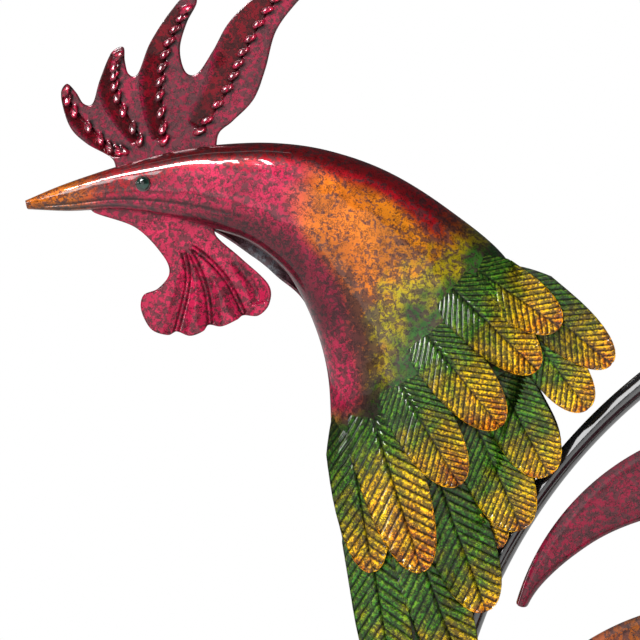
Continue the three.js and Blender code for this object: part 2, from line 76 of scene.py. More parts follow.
# Neck sections from beak to breast, in mm from the wheel axis:
# back edge x and z, throat edge x and z, and depth of one half.
NECK_SECTIONS = np.array([
    [-415.9, 262.2, -415, 258.6, 1.8],
    [-399, 269.2, -398, 257.8, 5],
    [-376, 276.8, -374, 258.3, 8.5],
    [-352, 283.3, -350, 254.2, 12],
    [-332.8, 286.1, -331.7, 249, 14.5],
    [-308, 286.9, -317, 242.9, 16.5],
    [-284, 283.5, -304, 232.5, 18.5],
    [-258, 274.2, -295.3, 220.3, 20.5],
    [-232, 258, -288, 203.5, 22],
    [-207, 236.6, -283.8, 186.7, 23],
    [-197, 212, -282.4, 168, 23],
    [-201, 180, -282.4, 150, 22],
    [-210, 145, -280.2, 130, 20],
    [-221, 110, -275.4, 108, 17],
    [-232, 75, -270, 75, 14],
    [-239.5, 40, -264, 42, 11],
    [-243.5, 5, -257.5, 8, 8],
    [-245, -30, -250.5, -28, 5],
])

COMB_OUTLINE = [
    (-377, 271), (-378, 280), (-389.6, 287), (-397, 294.5), (-401, 307.5), (-398.5, 313),
    (-394.5, 309.5), (-391, 304.4), (-387, 304.6), (-384, 315), (-379.5, 326), (-374, 329),
    (-373.2, 323), (-371.5, 317.3), (-367.5, 317.3), (-362.3, 330.8), (-353.5, 344.5),
    (-344.7, 353.3), (-342, 348.5), (-346.5, 339), (-349.2, 328), (-346.8, 318.3),
    (-341.5, 317.4), (-334.9, 327.1), (-328, 339.5), (-317, 350.5), (-303, 359.5),
    (-289, 365.5), (-289.5, 357), (-299, 347.5), (-307.6, 335.3), (-312, 319),
    (-317, 306), (-326, 296.6), (-332.2, 290.7), (-333, 279),
]
# Each spike's bead row: its line from tip to root, number of beads, and facet width in mm.
COMB_ROWS = [
    ([(-398.8, 310), (-396.2, 302.5), (-386, 291.5), (-379, 285), (-373.7, 284)], 8, 5),
    ([(-376.3, 325), (-377.7, 318), (-375.8, 305.5), (-366.3, 288.4)], 9, 8),
    ([(-346.8, 345), (-354.6, 329.5), (-357.9, 310), (-355.5, 288.4)], 11, 10),
    ([(-298, 357), (-308.7, 348.6), (-320.4, 329.5), (-327.8, 312.2), (-340.3, 292.3)], 14, 13),
]
WATTLE_OUTLINE = [
    (-386, 262), (-386.3, 257.2), (-368, 250.5), (-356, 238.5), (-353, 230.5), (-357.7, 224),
    (-364, 221), (-364.9, 214.5), (-360.5, 206.3), (-353.5, 203.8), (-349.6, 205.4),
    (-343.7, 203.4), (-338, 205.4), (-335.6, 208.3), (-330, 207.5), (-323.5, 210.3),
    (-320.6, 212.4), (-314, 212.2), (-309.3, 217.5), (-310, 226), (-322, 237.3),
    (-332.8, 247), (-333, 254),
]
WATTLE_RIBS = [
    [(-347.3, 241.2), (-345.1, 232.1), (-345.5, 223), (-349.9, 205.2)],
    [(-344.2, 240.5), (-339.5, 230.8), (-336.4, 220.8), (-335.1, 209.6)],
    [(-344.2, 242.5), (-336.4, 236.9), (-327.8, 227.3), (-320.9, 213.9)],
]
WATTLE_DENT = [(-330, 241), (-322, 232), (-316, 224.5), (-314, 217)]

# First vane, in mm from the wheel axis: its outer edge is one arc.
VANE_ARC_X, VANE_ARC_Z, VANE_ARC_RADIUS = -97.9, 58.5, 106.9
VANE_TIP_ANGLE, VANE_ROOT_ANGLE = 164.5, -21
VANE_WIDTHS = [5, 16, 27, 34, 35, 31, 26, 21, 17, 14]
VANE_PITCH = math.tan(math.radians(20))
VANE_BOW = 2.5

# Bores of the round parts and the gap round the bolt.
BOLT_HOLE, BEARING_BORE, SLEEVE_SEAT, PLATE_BORE = 4.3 * MM, 4.3 * MM, 11.3 * MM, 14.3 * MM
COUPLER_BORE, TUBE_BORE, CLEARANCE = 6.7 * MM, 5.15 * MM, 0.3 * MM
RIVET = 2.6 * MM  # radius of a rivet's head

# ---- small maths


def spline(points, samples):
    """Samples a uniform Catmull-Rom line through points, ends included."""
    points = np.array(points, float)
    last = len(points) - 1
    place = np.linspace(0, last, samples)
    start = np.minimum(place.astype(int), last - 1)
    t = (place - start)[:, None]
    p0 = points[np.maximum(start - 1, 0)]
    p1 = points[start]
    p2 = points[start + 1]
    p3 = points[np.minimum(start + 2, last)]
    v0 = (p2 - p0) / 2
    v1 = (p3 - p1) / 2
    cubic = (2 * p1 - 2 * p2 + v0 + v1) * t**3
    square = (-3 * p1 + 3 * p2 - 2 * v0 - v1) * t**2
    return cubic + square + v0 * t + p1


def ease(low, high, value):
    """0 up to low, 1 from high on, and a smooth step between."""
    t = np.clip((value - low) / (high - low), 0, 1)
    return t * t * (3 - 2 * t)


def lerp(a, b, t):
    return a + (b - a) * t


def bell(offset, width):
    """1 where offset is 0, fading smoothly to both sides over the width."""
    return np.exp(-((offset / width) ** 2))


def circle(steps):
    """Angles at even steps round a circle."""
    return np.linspace(0, 2 * math.pi, steps, endpoint=False)


def quarter_arc(width, height, steps):
    """Points on a quarter of an ellipse, from (width, 0) to (0, height)."""
    return [(width * math.cos(t), height * math.sin(t)) for t in np.linspace(0, math.pi / 2, steps)]


def point_list(x, y, z):
    """Grids of coordinates as one list of points."""
    return np.stack(np.broadcast_arrays(x, y, z), axis=-1).reshape(-1, 3)


def grey(shade):
    """The same shade in all three colour channels."""
    return np.repeat(shade[..., None], 3, axis=-1)


def paint_over(paint, colour, cover):
    """Paint with a colour laid over it as far as cover says, from 0 to 1."""
    return lerp(paint, np.array(colour), cover[..., None])


def blend_colours(stops, value):
    """Colour at value from (position, colour) stops, for an array of values."""
    places = [place for place, _ in stops]
    channels = [np.interp(value, places, [colour[k] for _, colour in stops]) for k in range(3)]
    return np.stack(channels, axis=-1)


def blotches(x, z):
    """Uneven patches about 10 mm across, from -1 to 1, for x and z in mm."""
    return np.sin(x / 2.6 + 1.7 * np.sin(z / 3.9)) * np.sin(z / 2.9 + 1.4 * np.sin(x / 3.3))


def to_line(points, line):
    """Distance, side (+1 on the left of the line's run) and place along, for 2-D points."""
    gaps = np.linalg.norm(points[:, None] - line[None], axis=2)
    nearest = gaps.argmin(axis=1)
    run = np.gradient(line, axis=0)[nearest]
    offset = points - line[nearest]
    side = np.sign(run[:, 0] * offset[:, 1] - run[:, 1] * offset[:, 0])
    return gaps[np.arange(len(points)), nearest], side, nearest / (len(line) - 1)


# ---- materials

CRIMSON = (0.64, 0.017, 0.085)
DEEP_RED = (0.42, 0.004, 0.012)
ORANGE = (0.84, 0.2, 0.008)
AMBER = (0.8, 0.3, 0.008)
BEAK_ORANGE = (0.62, 0.15, 0.007)
OLIVE = (0.55, 0.42, 0.006)
GREEN = (0.035, 0.15, 0.018)
BRIGHT_GREEN = (0.08, 0.36, 0.02)
DARK_GREEN = (0.035, 0.075, 0.03)
GOLD = (1.0, 0.6, 0.01)
RUST = (0.3, 0.07, 0.02)
UNDER_GREY = (0.13, 0.13, 0.15)
PLUM_GREY = (0.075, 0.03, 0.035)
BROWN_BLACK = (0.022, 0.017, 0.012)
SPONGE_COVER, WORM_COVER = 0.78, 0.92  # how far the speckles hide the paint


def new_material(name):
    material = bpy.data.materials.new(name)
    material.use_nodes = True
    shader = material.node_tree.nodes["Principled BSDF"]
    return material, material.node_tree, shader


def feed(tree, socket, value):
    """Links a node's output to a socket, or sets the socket to a number or a colour."""
    if isinstance(value, bpy.types.NodeSocket):
        tree.links.new(value, socket)
    else:
        socket.default_value = (*value, 1) if isinstance(value, tuple) else value


def set_node(tree, node, **values):
    """Feeds a node's inputs by name, or sets its properties where no input matches."""
    for key, value in values.items():
        label = key.replace("_", " ")
        socket = next((s for s in node.inputs if s.name.lower() == label), None)
        if socket is None:
            setattr(node, key, value)
        else:
            feed(tree, socket, value)


def add_node(tree, kind, **values):
    node = tree.nodes.new(kind)
    set_node(tree, node, **values)
    return node


def noise(tree, scale, detail=4, roughness=0.6, distortion=0):
    place = tree.nodes.get("Texture Coordinate") or tree.nodes.new("ShaderNodeTexCoord")
    node = add_node(tree, "ShaderNodeTexNoise", vector=place.outputs["Object"], scale=scale,
                    detail=detail, roughness=roughness, distortion=distortion)
    return node.outputs["Fac"]


def calculate(tree, operation, *inputs):
    node = add_node(tree, "ShaderNodeMath", operation=operation)
    for socket, value in zip(node.inputs, inputs):
        feed(tree, socket, value)
    return node.outputs[0]


def times(tree, first, second):
    return calculate(tree, "MULTIPLY", first, second)


def ramp(tree, value, low, high, to_low=0.0, to_high=1.0):
    """Eases from to_low to to_high as value goes from low to high."""
    node = add_node(tree, "ShaderNodeMapRange", interpolation_type="SMOOTHSTEP", value=value,
                    from_min=low, from_max=high, to_min=to_low, to_max=to_high)
    return node.outputs["Result"]


def mix(tree, factor, first, second, mode="MIX"):
    node = add_node(tree, "ShaderNodeMix", data_type="RGBA", blend_type=mode)
    for socket, value in ((0, factor), (6, first), (7, second)):
        feed(tree, node.inputs[socket], value)
    return node.outputs[2]


def attribute(tree, name):
    return add_node(tree, "ShaderNodeAttribute", attribute_name=name)


def bump(tree, shader, height, distance, strength):
    node = add_node(tree, "ShaderNodeBump", height=height, strength=strength, distance=distance)
    set_node(tree, shader, normal=node.outputs["Normal"])


def speckled_lacquer(name, speckle, grain, coat, metallic=0.2, roughness=0.32):
    """Gloss coat over painted metal: sponged blotches and wormy specks, thicker where the
    paint layer's alpha is higher."""
    material, tree, shader = new_material(name)
    paint = attribute(tree, "paint")
    shade = attribute(tree, "shade")
    amount = times(tree, calculate(tree, "SUBTRACT", paint.outputs["Alpha"], 0.5), 0.4)
    fine = noise(tree, grain, 4, 0.68, 0.3)
    sponge = ramp(tree, calculate(tree, "ADD", fine, amount), 0.515, 0.55)
    lines = noise(tree, grain * 1.15, 4, 0.8, 0.5)
    ridged = calculate(tree, "ABSOLUTE", calculate(tree, "SUBTRACT", lines, 0.5))
    broken = ramp(tree, noise(tree, grain * 0.7, 2), 0.42, 0.5)
    worm = times(tree, ramp(tree, ridged, 0.014, 0.036, 1, 0), broken)
    tone = ramp(tree, noise(tree, grain / 8, 3, 0.6), 0.32, 0.68, 0.72, 1.22)
    toned = add_node(tree, "ShaderNodeVectorMath", operation="SCALE", scale=tone)
    feed(tree, toned.inputs[0], paint.outputs["Color"])
    colour = mix(tree, times(tree, sponge, SPONGE_COVER), toned.outputs[0], speckle)
    dark = tuple(0.2 * channel for channel in speckle)
    colour = mix(tree, times(tree, worm, WORM_COVER), colour, dark)
    # The shade layer multiplies the painted shade and painted highlights into the paint.
    set_node(tree, shader, base_color=mix(tree, 1.0, colour, shade.outputs["Color"], "MULTIPLY"),
             roughness=ramp(tree, fine, 0.3, 0.7, roughness - 0.06, roughness + 0.12),
             metallic=metallic, specular_ior_level=0.1, coat_weight=coat, coat_roughness=0.04)
    bump(tree, shader, fine, 0.15 * MM, 0.3)
    return material


def black_enamel():
    material, tree, shader = new_material("black_enamel")
    cloud = ramp(tree, noise(tree, 60, 5), 0.35, 0.7)
    tint = mix(tree, cloud, (0.010, 0.010, 0.012), (0.022, 0.021, 0.024))
    dust = times(tree, ramp(tree, noise(tree, 900, 3, 0.8), 0.66, 0.74), 0.25)
    set_node(tree, shader, base_color=mix(tree, dust, tint, (0.12, 0.11, 0.11)),
             roughness=ramp(tree, noise(tree, 220, 4), 0.3, 0.7, 0.08, 0.2),
             ior=2.4, coat_weight=0.8, coat_roughness=0.03)
    bump(tree, shader, noise(tree, 420, 3, 0.5), 0.1 * MM, 0.4)
    return material


def zinc_plate():
    material, tree, shader = new_material("zinc_plate")
    cloud = ramp(tree, noise(tree, 180, 5), 0.35, 0.65)
    tint = mix(tree, cloud, (0.42, 0.43, 0.44), (0.62, 0.62, 0.6))
    stain = times(tree, ramp(tree, noise(tree, 70, 6, 0.7), 0.58, 0.75), 0.35)
    set_node(tree, shader, base_color=mix(tree, stain, tint, (0.3, 0.24, 0.16)), metallic=1.0,
             roughness=ramp(tree, noise(tree, 350, 5), 0.3, 0.7, 0.25, 0.45))
    bump(tree, shader, noise(tree, 800, 4), 0.08 * MM, 0.4)
    return material


def eye_gloss():
    material, tree, shader = new_material("eye_gloss")
    cloud = ramp(tree, noise(tree, 300, 3), 0.4, 0.6)
    tint = mix(tree, cloud, (0.004, 0.012, 0.009), (0.012, 0.05, 0.035))
    set_node(tree, shader, base_color=tint, coat_weight=1.0,
             roughness=ramp(tree, noise(tree, 900, 2), 0.3, 0.7, 0.04, 0.1))
    return material


def pale_floor():
    material, tree, shader = new_material("pale_floor")
    tint = mix(tree, noise(tree, 3, 3), (0.86, 0.86, 0.85), (0.9, 0.9, 0.9))
    set_node(tree, shader, base_color=tint, roughness=0.7)
    return material


MATERIALS = {
    "crimson_paint": speckled_lacquer("crimson_lacquer", PLUM_GREY, 380, 0.7),
    "neck_paint": speckled_lacquer("neck_lacquer", PLUM_GREY, 430, 0.8),
    "feather_paint": speckled_lacquer("feather_lacquer", BROWN_BLACK, 740, 0.6, 0.12),
    "vane_paint": speckled_lacquer("vane_lacquer", PLUM_GREY, 380, 0.75, 0.25, 0.36),
    "black_enamel": black_enamel(),
    "zinc_steel": zinc_plate(),
    "eye_bead": eye_gloss(),
}

# ---- making pieces

SHARP_ANGLE = math.radians(50)
ENAMEL, STEEL = "black_enamel", "zinc_steel"  # the two slots used most


def add_object(name, data):
    made = bpy.data.objects.new(name, data)
    bpy.context.scene.collection.objects.link(made)
    return made


def make_piece(name, vertices, faces, slot, stands_for=(), paint=(1, 1, 1), shade=(1, 1, 1),
               body="frame", merge=0.0):
    """A closed smooth mesh that rides on a body. paint and shade are for all its vertices or for
    each, and paint's alpha says how speckled it is."""
    mesh = bpy.data.meshes.new(name)
    mesh.from_pydata([tuple(v) for v in vertices], [], [tuple(f) for f in faces])
    # shade carries each piece's painted shade and painted highlights.
    for label, values in (("paint", paint), ("shade", shade)):
        full = np.full((len(vertices), 4), (1, 1, 1, 0.5))
        full[:, :np.shape(values)[-1]] = values
        layer = mesh.color_attributes.new(label, "FLOAT_COLOR", "POINT")
        layer.data.foreach_set("color", full.ravel())
    work = bmesh.new()
    work.from_mesh(mesh)
    if merge:
        bmesh.ops.remove_doubles(work, verts=work.verts, dist=merge)
        bmesh.ops.dissolve_degenerate(work, edges=work.edges, dist=merge / 2)
    bmesh.ops.recalc_face_normals(work, faces=work.faces)
    for face in work.faces:
        face.smooth = True
    for edge in work.edges:
        edge.smooth = len(edge.link_faces) == 2 and edge.calc_face_angle(0) < SHARP_ANGLE
    work.to_mesh(mesh)
    work.free()
    mesh.materials.append(MATERIALS[slot])
    made = add_object(name, mesh)
    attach(made, body)
    if stands_for:
        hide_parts(*stands_for)
    return made


def sheet_faces(rows, columns):
    """Faces of two stacked grids of points joined round their rims."""
    count = rows * columns
    starts = [i * columns + j for i in range(rows - 1) for j in range(columns - 1)]
    top = [(a, a + 1, a + 1 + columns, a + columns) for a in starts]
    bottom = [tuple(count + k for k in quad[::-1]) for quad in top]
    rim = list(range(columns))
    rim += [i * columns + columns - 1 for i in range(1, rows)]
    rim += [(rows - 1) * columns + j for j in range(columns - 2, -1, -1)]
    rim += [i * columns for i in range(rows - 2, 0, -1)]
    return top + bottom + [(b, a, count + a, count + b) for a, b in zip(rim, rim[1:] + rim[:1])]


def caster(solid):
    """A function that gives the y where a ray from the front meets an object, or None."""
    mesh = solid.data
    tree = BVHTree.FromPolygons([v.co for v in mesh.vertices], [p.vertices for p in mesh.polygons])

    def cast(x, z):
        hit = tree.ray_cast(Vector((x, -1, z)), Vector((0, 1, 0)))[0]
        return None if hit is None else hit.y

    return cast


# ---- neck and head

FAR_LIP = 4.5 * MM  # the far half is stamped this much deeper under the throat
JAW_LINES = ((-0.57, 0.34), (-0.86, 0.22))  # place across the head and how far back each ends
SHELL_WALL, JAW_WIDTH, JAW_DEPTH = 1.0 * MM, 0.8 * MM, 1.0 * MM
# Where each colour takes over: mm right of the wheel axis, and mm down the neck.
ORANGE_BLEND, AMBER_BLEND, BEAK_BLEND = (-309, -284), (-275, -240), (-376, -398)
OLIVE_BLEND, GREEN_BLEND = (-346, -328), (-329, -314)


def under_throat(place):
    """1 along the stretch of the neck just behind the wattle, easing to 0 either side."""
    return ease(0.2, 0.3, place) * ease(0.43, 0.34, place)


def ripple(x, z):
    """Slight unevenness of hand-worked sheet, for x and z in mm."""
    waves = np.sin(x / 1.9 + z / 3.1) + np.sin(z / 2.3 - x / 3.7) + np.sin(x / 5.3 + z / 4.1)
    return 0.035 * MM * waves


def down_neck(x, z):
    """How far a point is down the neck towards the cape, all in mm."""
    return 0.788 * x - 0.617 * z


def neck_paint(x, z, across, width):
    """Paint on the neck: x and z in mm from the wheel axis, across from -1 throat to 1 back."""
    wave = 4 * np.sin(x / 9 + z / 13) + 3 * np.sin(z / 7 - x / 17) + 2 * np.sin(x / 3.1 + z / 4.3)
    patches = 9 * blotches(x, z)
    behind = x - 12 * ease(262, 278, z) + 0.6 * wave
    down = down_neck(x, z) + wave
    paint = paint_over(np.array(CRIMSON), ORANGE, ease(*ORANGE_BLEND, behind))
    paint = paint_over(paint, AMBER, 0.7 * ease(*AMBER_BLEND, behind))
    paint = paint_over(paint, OLIVE, ease(*OLIVE_BLEND, down + patches))
    paint = paint_over(paint, GREEN, ease(*GREEN_BLEND, down + 0.7 * patches))
    throat = ease(23, 12, (1 + across) * width + 0.5 * wave) * ease(-345, -325, x)
    paint = paint_over(paint, CRIMSON, throat * ease(162, 174, z))
    # The deep red along the back rim is partly the rim's own colour and partly painted shade where the
    # rim turns away from the light.
    back = ease(15, 8, (1 - across) * width + 0.4 * wave) * ease(-325, -345, down)
    paint = paint_over(paint, DEEP_RED, back)
    return paint_over(paint, BEAK_ORANGE, ease(*BEAK_BLEND, x))


def throat_smoke(z, across, width):
    """The sooty band between the crimson throat and the orange, from 0 to 1."""
    return bell((1 + across) * width - 21, 8) * ease(245, 222, z) * ease(150, 175, z)


def neck_shade(x, z, across, width):
    """Brightness: painted shade along the back rim and the throat, where the shell turns away from the
    light, a painted shadow below the feather roots, and the darker sooty band.
    """
    # back and throat are painted shade where the shell's edges turn away from the light.
    back = 0.66 * ease(9, 5, (1 - across) * width) * ease(-395, -340, x)
    throat = 0.75 * ease(24, 5, (1 + across) * width) * ease(262, 250, z)
    dark = np.maximum(back, throat * ease(185, 215, z))
    # Painted shadow on the neck below the feather roots.
    lower = 0.45 * ease(190, 150, z) * ease(60, 90, z)
    return (1 - dark) * (1 - lower) * (1 - 0.55 * throat_smoke(z, across, width))


def neck_speckle(x, z, across, width):
    """How speckled the neck is: most where it meets the cape, least on the orange."""
    down = down_neck(x, z)
    orange = ease(-305, -285, x) * ease(-325, -345, down)
    cape = ease(-340, -322, down)
    beak = ease(*BEAK_BLEND, x)
    seam = ease(-362, -345, down) * ease(-325, -340, down)
    smoke = throat_smoke(z, across, width)
    return 0.56 - 0.12 * orange - 0.06 * beak - 0.04 * cape + 0.14 * seam + 0.22 * smoke


def jaw_relief(across, width, place):
    """The two jaw lines pressed along the head, 1 at their deepest."""
    jaw = np.zeros_like(across)
    for line, end in JAW_LINES:
        along = ease(0.0, 0.04, place) * ease(end, end - 0.12, place)
        jaw = np.maximum(jaw, bell((across - line) * width, JAW_WIDTH) * along)
    return jaw


def neck_half(side):
    """One half shell: side is -1 for the near half and 1 for the far half."""
    steps, columns = 300, 61
    dense = spline(NECK_SECTIONS, steps)
    back, throat, depth = from_hub(dense[:, 0:2]), from_hub(dense[:, 2:4]), dense[:, 4] * MM
    place = np.linspace(0, 1, steps)
    if side > 0:
        outward = (throat - back) / np.linalg.norm(throat - back, axis=1)[:, None]
        throat = throat + outward * (FAR_LIP * under_throat(place))[:, None]
    middle = (back + throat) / 2
    half = (back - throat) / 2
    width = np.linalg.norm(half, axis=1)[:, None]
    place = place[:, None]
    power = 2 / lerp(2.35, 2.05, ease(0.3, 0.6, place))
    angle = np.linspace(0, math.pi, columns)
    across = np.sign(np.cos(angle)) * np.abs(np.cos(angle)) ** power
    bulge = np.abs(np.sin(angle)) ** power
    jaw = jaw_relief(across, width, place)
    bare = (side > 0) * under_throat(place) * ease(-0.45, -0.65, across)
    layers, paints, shades = [], [], []
    for inset in (0.0, SHELL_WALL):
        shrink = np.maximum(1 - inset / width, 0.05)
        flat = middle[:, None] + half[:, None] * (across * shrink)[..., None]
        x, z = mm_from_hub(flat[..., 0], flat[..., 1])
        lift = np.maximum(depth - inset, 0.4 * MM)[:, None] * bulge
        if inset:
            lift = lerp(lift, 0.6 * MM * np.sin(9 * (1 + across)) ** 2, bare)
        lift = lift - JAW_DEPTH * jaw * (1 - bare) + ripple(x, z) * bulge
        layers.append(point_list(flat[..., 0], side * (SEAM + lift), flat[..., 1]))
        wide = width / MM * np.ones_like(across)
        paint = paint_over(neck_paint(x, z, across, wide), UNDER_GREY, bare)
        speckle = neck_speckle(x, z, across, wide)
        paints.append(np.concatenate([paint, speckle[..., None]], axis=-1).reshape(-1, 4))
        # Painted shade in the pressed jaw lines and on the inner layer inside the shell; none on the
        # bare flange under the throat.
        shade = neck_shade(x, z, across, wide) * (1 - 0.8 * jaw) * (0.25 if inset else 1)
        shades.append(grey(lerp(shade, 1, bare)).reshape(-1, 3))
    end = "front" if side < 0 else "back"
    return make_piece(f"neck_{end}", np.vstack(layers), sheet_faces(steps, columns), "neck_paint",
                      [f"neck_shell_{end}"], np.vstack(paints), np.vstack(shades))


# ---- comb and wattle

SPACING, ROW_RATIO = 0.5 * MM, 0.866  # of the points that fill a sheet, in near-equal triangles
BEAD_LENGTH, BEAD_WIDTH, BEAD_HEIGHT = 3.2 * MM, 1.75 * MM, 1.5 * MM
BEAD_SLANT = (0.835, 0.55)  # how much a bead runs along its row and across it
BEAD_LEAN = np.array([0.25, -0.36])  # slope of a bead's top in x and z
VALLEY_DEPTH, LOBE_SWELL, DENT_DEPTH, LINE_WIDTH = 2.8 * MM, 1.8 * MM, 1.7 * MM, 0.4 * MM


def inside(points, outline):
    """Which 2-D points lie inside a closed outline."""
    x, y = points[:, 0], points[:, 1]
    within = np.zeros(len(points), bool)
    for (x0, y0), (x1, y1) in zip(outline, np.roll(outline, -1, axis=0)):
        crosses = (y0 > y) != (y1 > y)
        if y0 != y1:
            within ^= crosses & (x < (x1 - x0) * (y - y0) / (y1 - y0) + x0)
    return within


def relief_sheet(name, node, outline, relief, shade_at, depth, speckle):
    """A pressed crimson sheet: an outline filled with points, each moved out by relief(points)."""
    outline = from_hub(outline)
    rim = spline(outline, 24 * len(outline))
    rim = np.vstack([rim, spline([outline[-1], outline[0]], 30)[1:-1]])
    low, high = rim.min(axis=0), rim.max(axis=0)
    rows = int((high[1] - low[1]) / (SPACING * ROW_RATIO)) + 1
    columns = int((high[0] - low[0]) / SPACING) + 1
    lattice = np.array([(low[0] + (j + 0.5 * (i % 2)) * SPACING, low[1] + i * SPACING * ROW_RATIO)
                        for i in range(rows) for j in range(columns)])
    lattice = lattice[inside(lattice, rim)]
    lattice = lattice[to_line(lattice, rim)[0] > 0.45 * SPACING]
    points = [Vector(p) for p in np.vstack([rim, lattice])]
    edges = [(k, (k + 1) % len(rim)) for k in range(len(rim))]
    corners, _, triangles, *_ = delaunay_2d_cdt(points, edges, [], 1, 1e-7)
    flat = np.array([tuple(v) for v in corners])
    gap = to_line(flat, rim)[0]
    rounding = np.sqrt(1 - np.clip(1 - gap / (0.6 * MM), 0, 0.9) ** 2)
    height = relief(flat)
    half = SHEET / 2 * rounding
    sides = [point_list(flat[:, 0], HUB.y + s * half - height, flat[:, 1]) for s in (-1, 1)]
    count = len(flat)
    faces = [tuple(t) for t in triangles] + [tuple(count + k for k in t[::-1]) for t in triangles]
    walls = {}
    for t in triangles:
        for a, b in zip(t, t[1:] + t[:1]):
            walls.setdefault((min(a, b), max(a, b)), []).append((b, a, count + a, count + b))
    faces += [found[0] for found in walls.values() if len(found) == 1]
    paint = np.append(np.array(CRIMSON) * depth, speckle)
    shade = np.tile(shade_at(flat, gap, height), (2, 1))
    return make_piece(name, np.vstack(sides), faces, "crimson_paint", [node], paint, shade)


def comb_beads(points):
    """Height of the slanted, drop-shaped beads, and how near a point is to a bead's lower side, where
    comb_shade paints a shadow.
    """
    beads = np.zeros(len(points))
    under = np.zeros(len(points))
    for line, count, _ in COMB_ROWS:
        places = from_hub(spline(line, count))
        for place, way in zip(places, np.gradient(places, axis=0)):
            way = way / np.linalg.norm(way)
            slant = BEAD_SLANT[1] * np.array([way[1], -way[0]]) + BEAD_SLANT[0] * way
            offset = points - place
            long = offset @ slant / BEAD_LENGTH
            short = offset @ np.array([-slant[1], slant[0]]) / BEAD_WIDTH
            dome = np.clip(1 - (long**2 + short**2) ** 2, 0, 1)
            lean = (offset @ BEAD_LEAN) * np.minimum(1, 3 * dome)
            beads = np.maximum(beads, BEAD_HEIGHT * np.sqrt(dome) + lean)
            # under marks the painted shadow beside each bead's lower side.
            beside = ease(0.5, 1.0, short) * ease(1.9, 1.2, short)
            under = np.maximum(under, beside * ease(1.2, 0.6, np.abs(long)))
    return beads, under


def comb_relief(points):
    """A pressed valley beside each bead row, and the beads along it."""
    valley = np.zeros(len(points))
    for line, _, width in COMB_ROWS:
        gap, side, along = to_line(points, from_hub(spline(line, 120)))
        reach = width * MM * (0.4 + 0.6 * np.sin(np.pi * np.clip(along * 0.8 + 0.15, 0, 1)))
        fade = ease(0, 0.06, along) * ease(1, 0.97, along)
        left = np.clip(1 - gap / reach, 0, 1) * (side < 0)
        right = ease(1.3 * MM, 0, gap) * (side >= 0)
        valley = np.maximum(valley, VALLEY_DEPTH * fade * np.maximum(left, right))
    beads = comb_beads(points)[0]
    return np.where(beads > 0, beads - 0.5 * valley, -valley)


def comb_shade(points, edge_gap, height):
    """Painted shade: deeper, purer red in the pressed valleys, along the edge and under each bead; and
    painted highlights on the raised beads.
    """
    deep = ease(-0.15 * MM, -0.9 * MM, height)
    bright = ease(0.4 * MM, 1.2 * MM, height)
    edge = 1 - 0.5 * ease(1.3 * MM, 0.2 * MM, edge_gap)
    edge = edge * (1 - 0.9 * comb_beads(points)[1])
    red = (1 - 0.4 * deep + 0.9 * bright) * edge
    rest = (1 - 0.75 * deep + 0.4 * bright) * edge
    return np.stack([red, rest, rest], axis=1)


def wattle_relief(points):
    """Pairs of pressed grooves with a rib between, and lobes that swell between the ribs."""
    ribs = np.zeros(len(points))
    nearest = np.full(len(points), 1.0)
    for line in WATTLE_RIBS:
        gap, _, along = to_line(points, from_hub(spline(line, 80)))
        rib = 0.35 * bell(gap, LINE_WIDTH) - 0.85 * bell(gap - 1.0 * MM, LINE_WIDTH)
        ribs += rib * MM * ease(0, 0.12, along)
        nearest = np.minimum(nearest, gap)
    top = from_hub([(0, 243)])[0][1]
    swell = ease(top, top - 30 * MM, points[:, 1]) * ease(0, 6 * MM, nearest)
    gap, _, along = to_line(points, from_hub(spline(WATTLE_DENT, 40)))
    dent = bell(gap, 3.2 * MM) * ease(0, 0.5, along) * ease(1.0, 0.9, along)
    return ribs + LOBE_SWELL * swell - DENT_DEPTH * dent


def wattle_shade(points, edge_gap, height):
    """Painted shade: darker in the pressed grooves and dent, and along the edge."""
    dark = 0.6 * ease(0, -0.5 * MM, height)
    return grey((1 - dark) * (1 - 0.35 * ease(0.9 * MM, 0.2 * MM, edge_gap)))


# ---- feathers

FINE_BARBS, COARSE_BARBS = 3.3 * MM, 4.8 * MM
COARSE_FEATHERS = (6, 7, 8, 13, 14, 15, 16)
BARB_SLOPE = 1.05
FEATHER_WIDEST = 0.45
FEATHER_SIDE, FEATHER_POINT = 2.2, 2.3
FEATHER_SPREAD = 1.06
CAPE_EDGE, CAPE_EASE = 7.5 * MM, 7 * MM
STACK_SCALE = 0.65
BACK_REACH = 0.9
ROOT_SINK = 1.5 * MM
TUCKED_FEATHERS = range(2, 9)  # their roots run on under the row above
TUCK = 16 * MM
GROOVE_SHARE = 0.15  # dark part of each barb, as a fraction of the pitch
FEATHER_COLOURS = [(0, DARK_GREEN), (0.14, GREEN), (0.38, BRIGHT_GREEN), (0.6, OLIVE),
                   (0.72, GOLD), (1, ORANGE)]
# Where along its length each feather turns from green to gold.
GOLD_STARTS = [0.74, 0.68, 0.74, 0.7, 0.6, 0.9, 0.82, 0.82, 0.56, 0.64, 0.6, 0.66, 0.5, 0.78, 0.84, 0.84]


def feather_axis(node):
    """Root, direction, side, length and half width of a feather's CAD solid in x and z."""
    mesh = frame["nodes"][node].data
    flat = np.array([(v.co.x, v.co.z) for v in mesh.vertices])
    centres = np.array([(p.center.x, p.center.z) for p in mesh.polygons])
    areas = np.array([p.area for p in mesh.polygons])
    middle = np.average(centres, axis=0, weights=areas)
    spread = np.cov((centres - middle).T, aweights=areas)
    axis = np.linalg.eigh(spread)[1][:, 1]
    if axis[1] > 0:
        axis = -axis
    side = np.array([-axis[1], axis[0]])
    along = (flat - middle) @ axis
    across = (flat - middle) @ side
    root = middle + axis * along.min() + side * (across.max() + across.min()) / 2
    return root, axis, side, along.max() - along.min(), (across.max() - across.min()) / 2


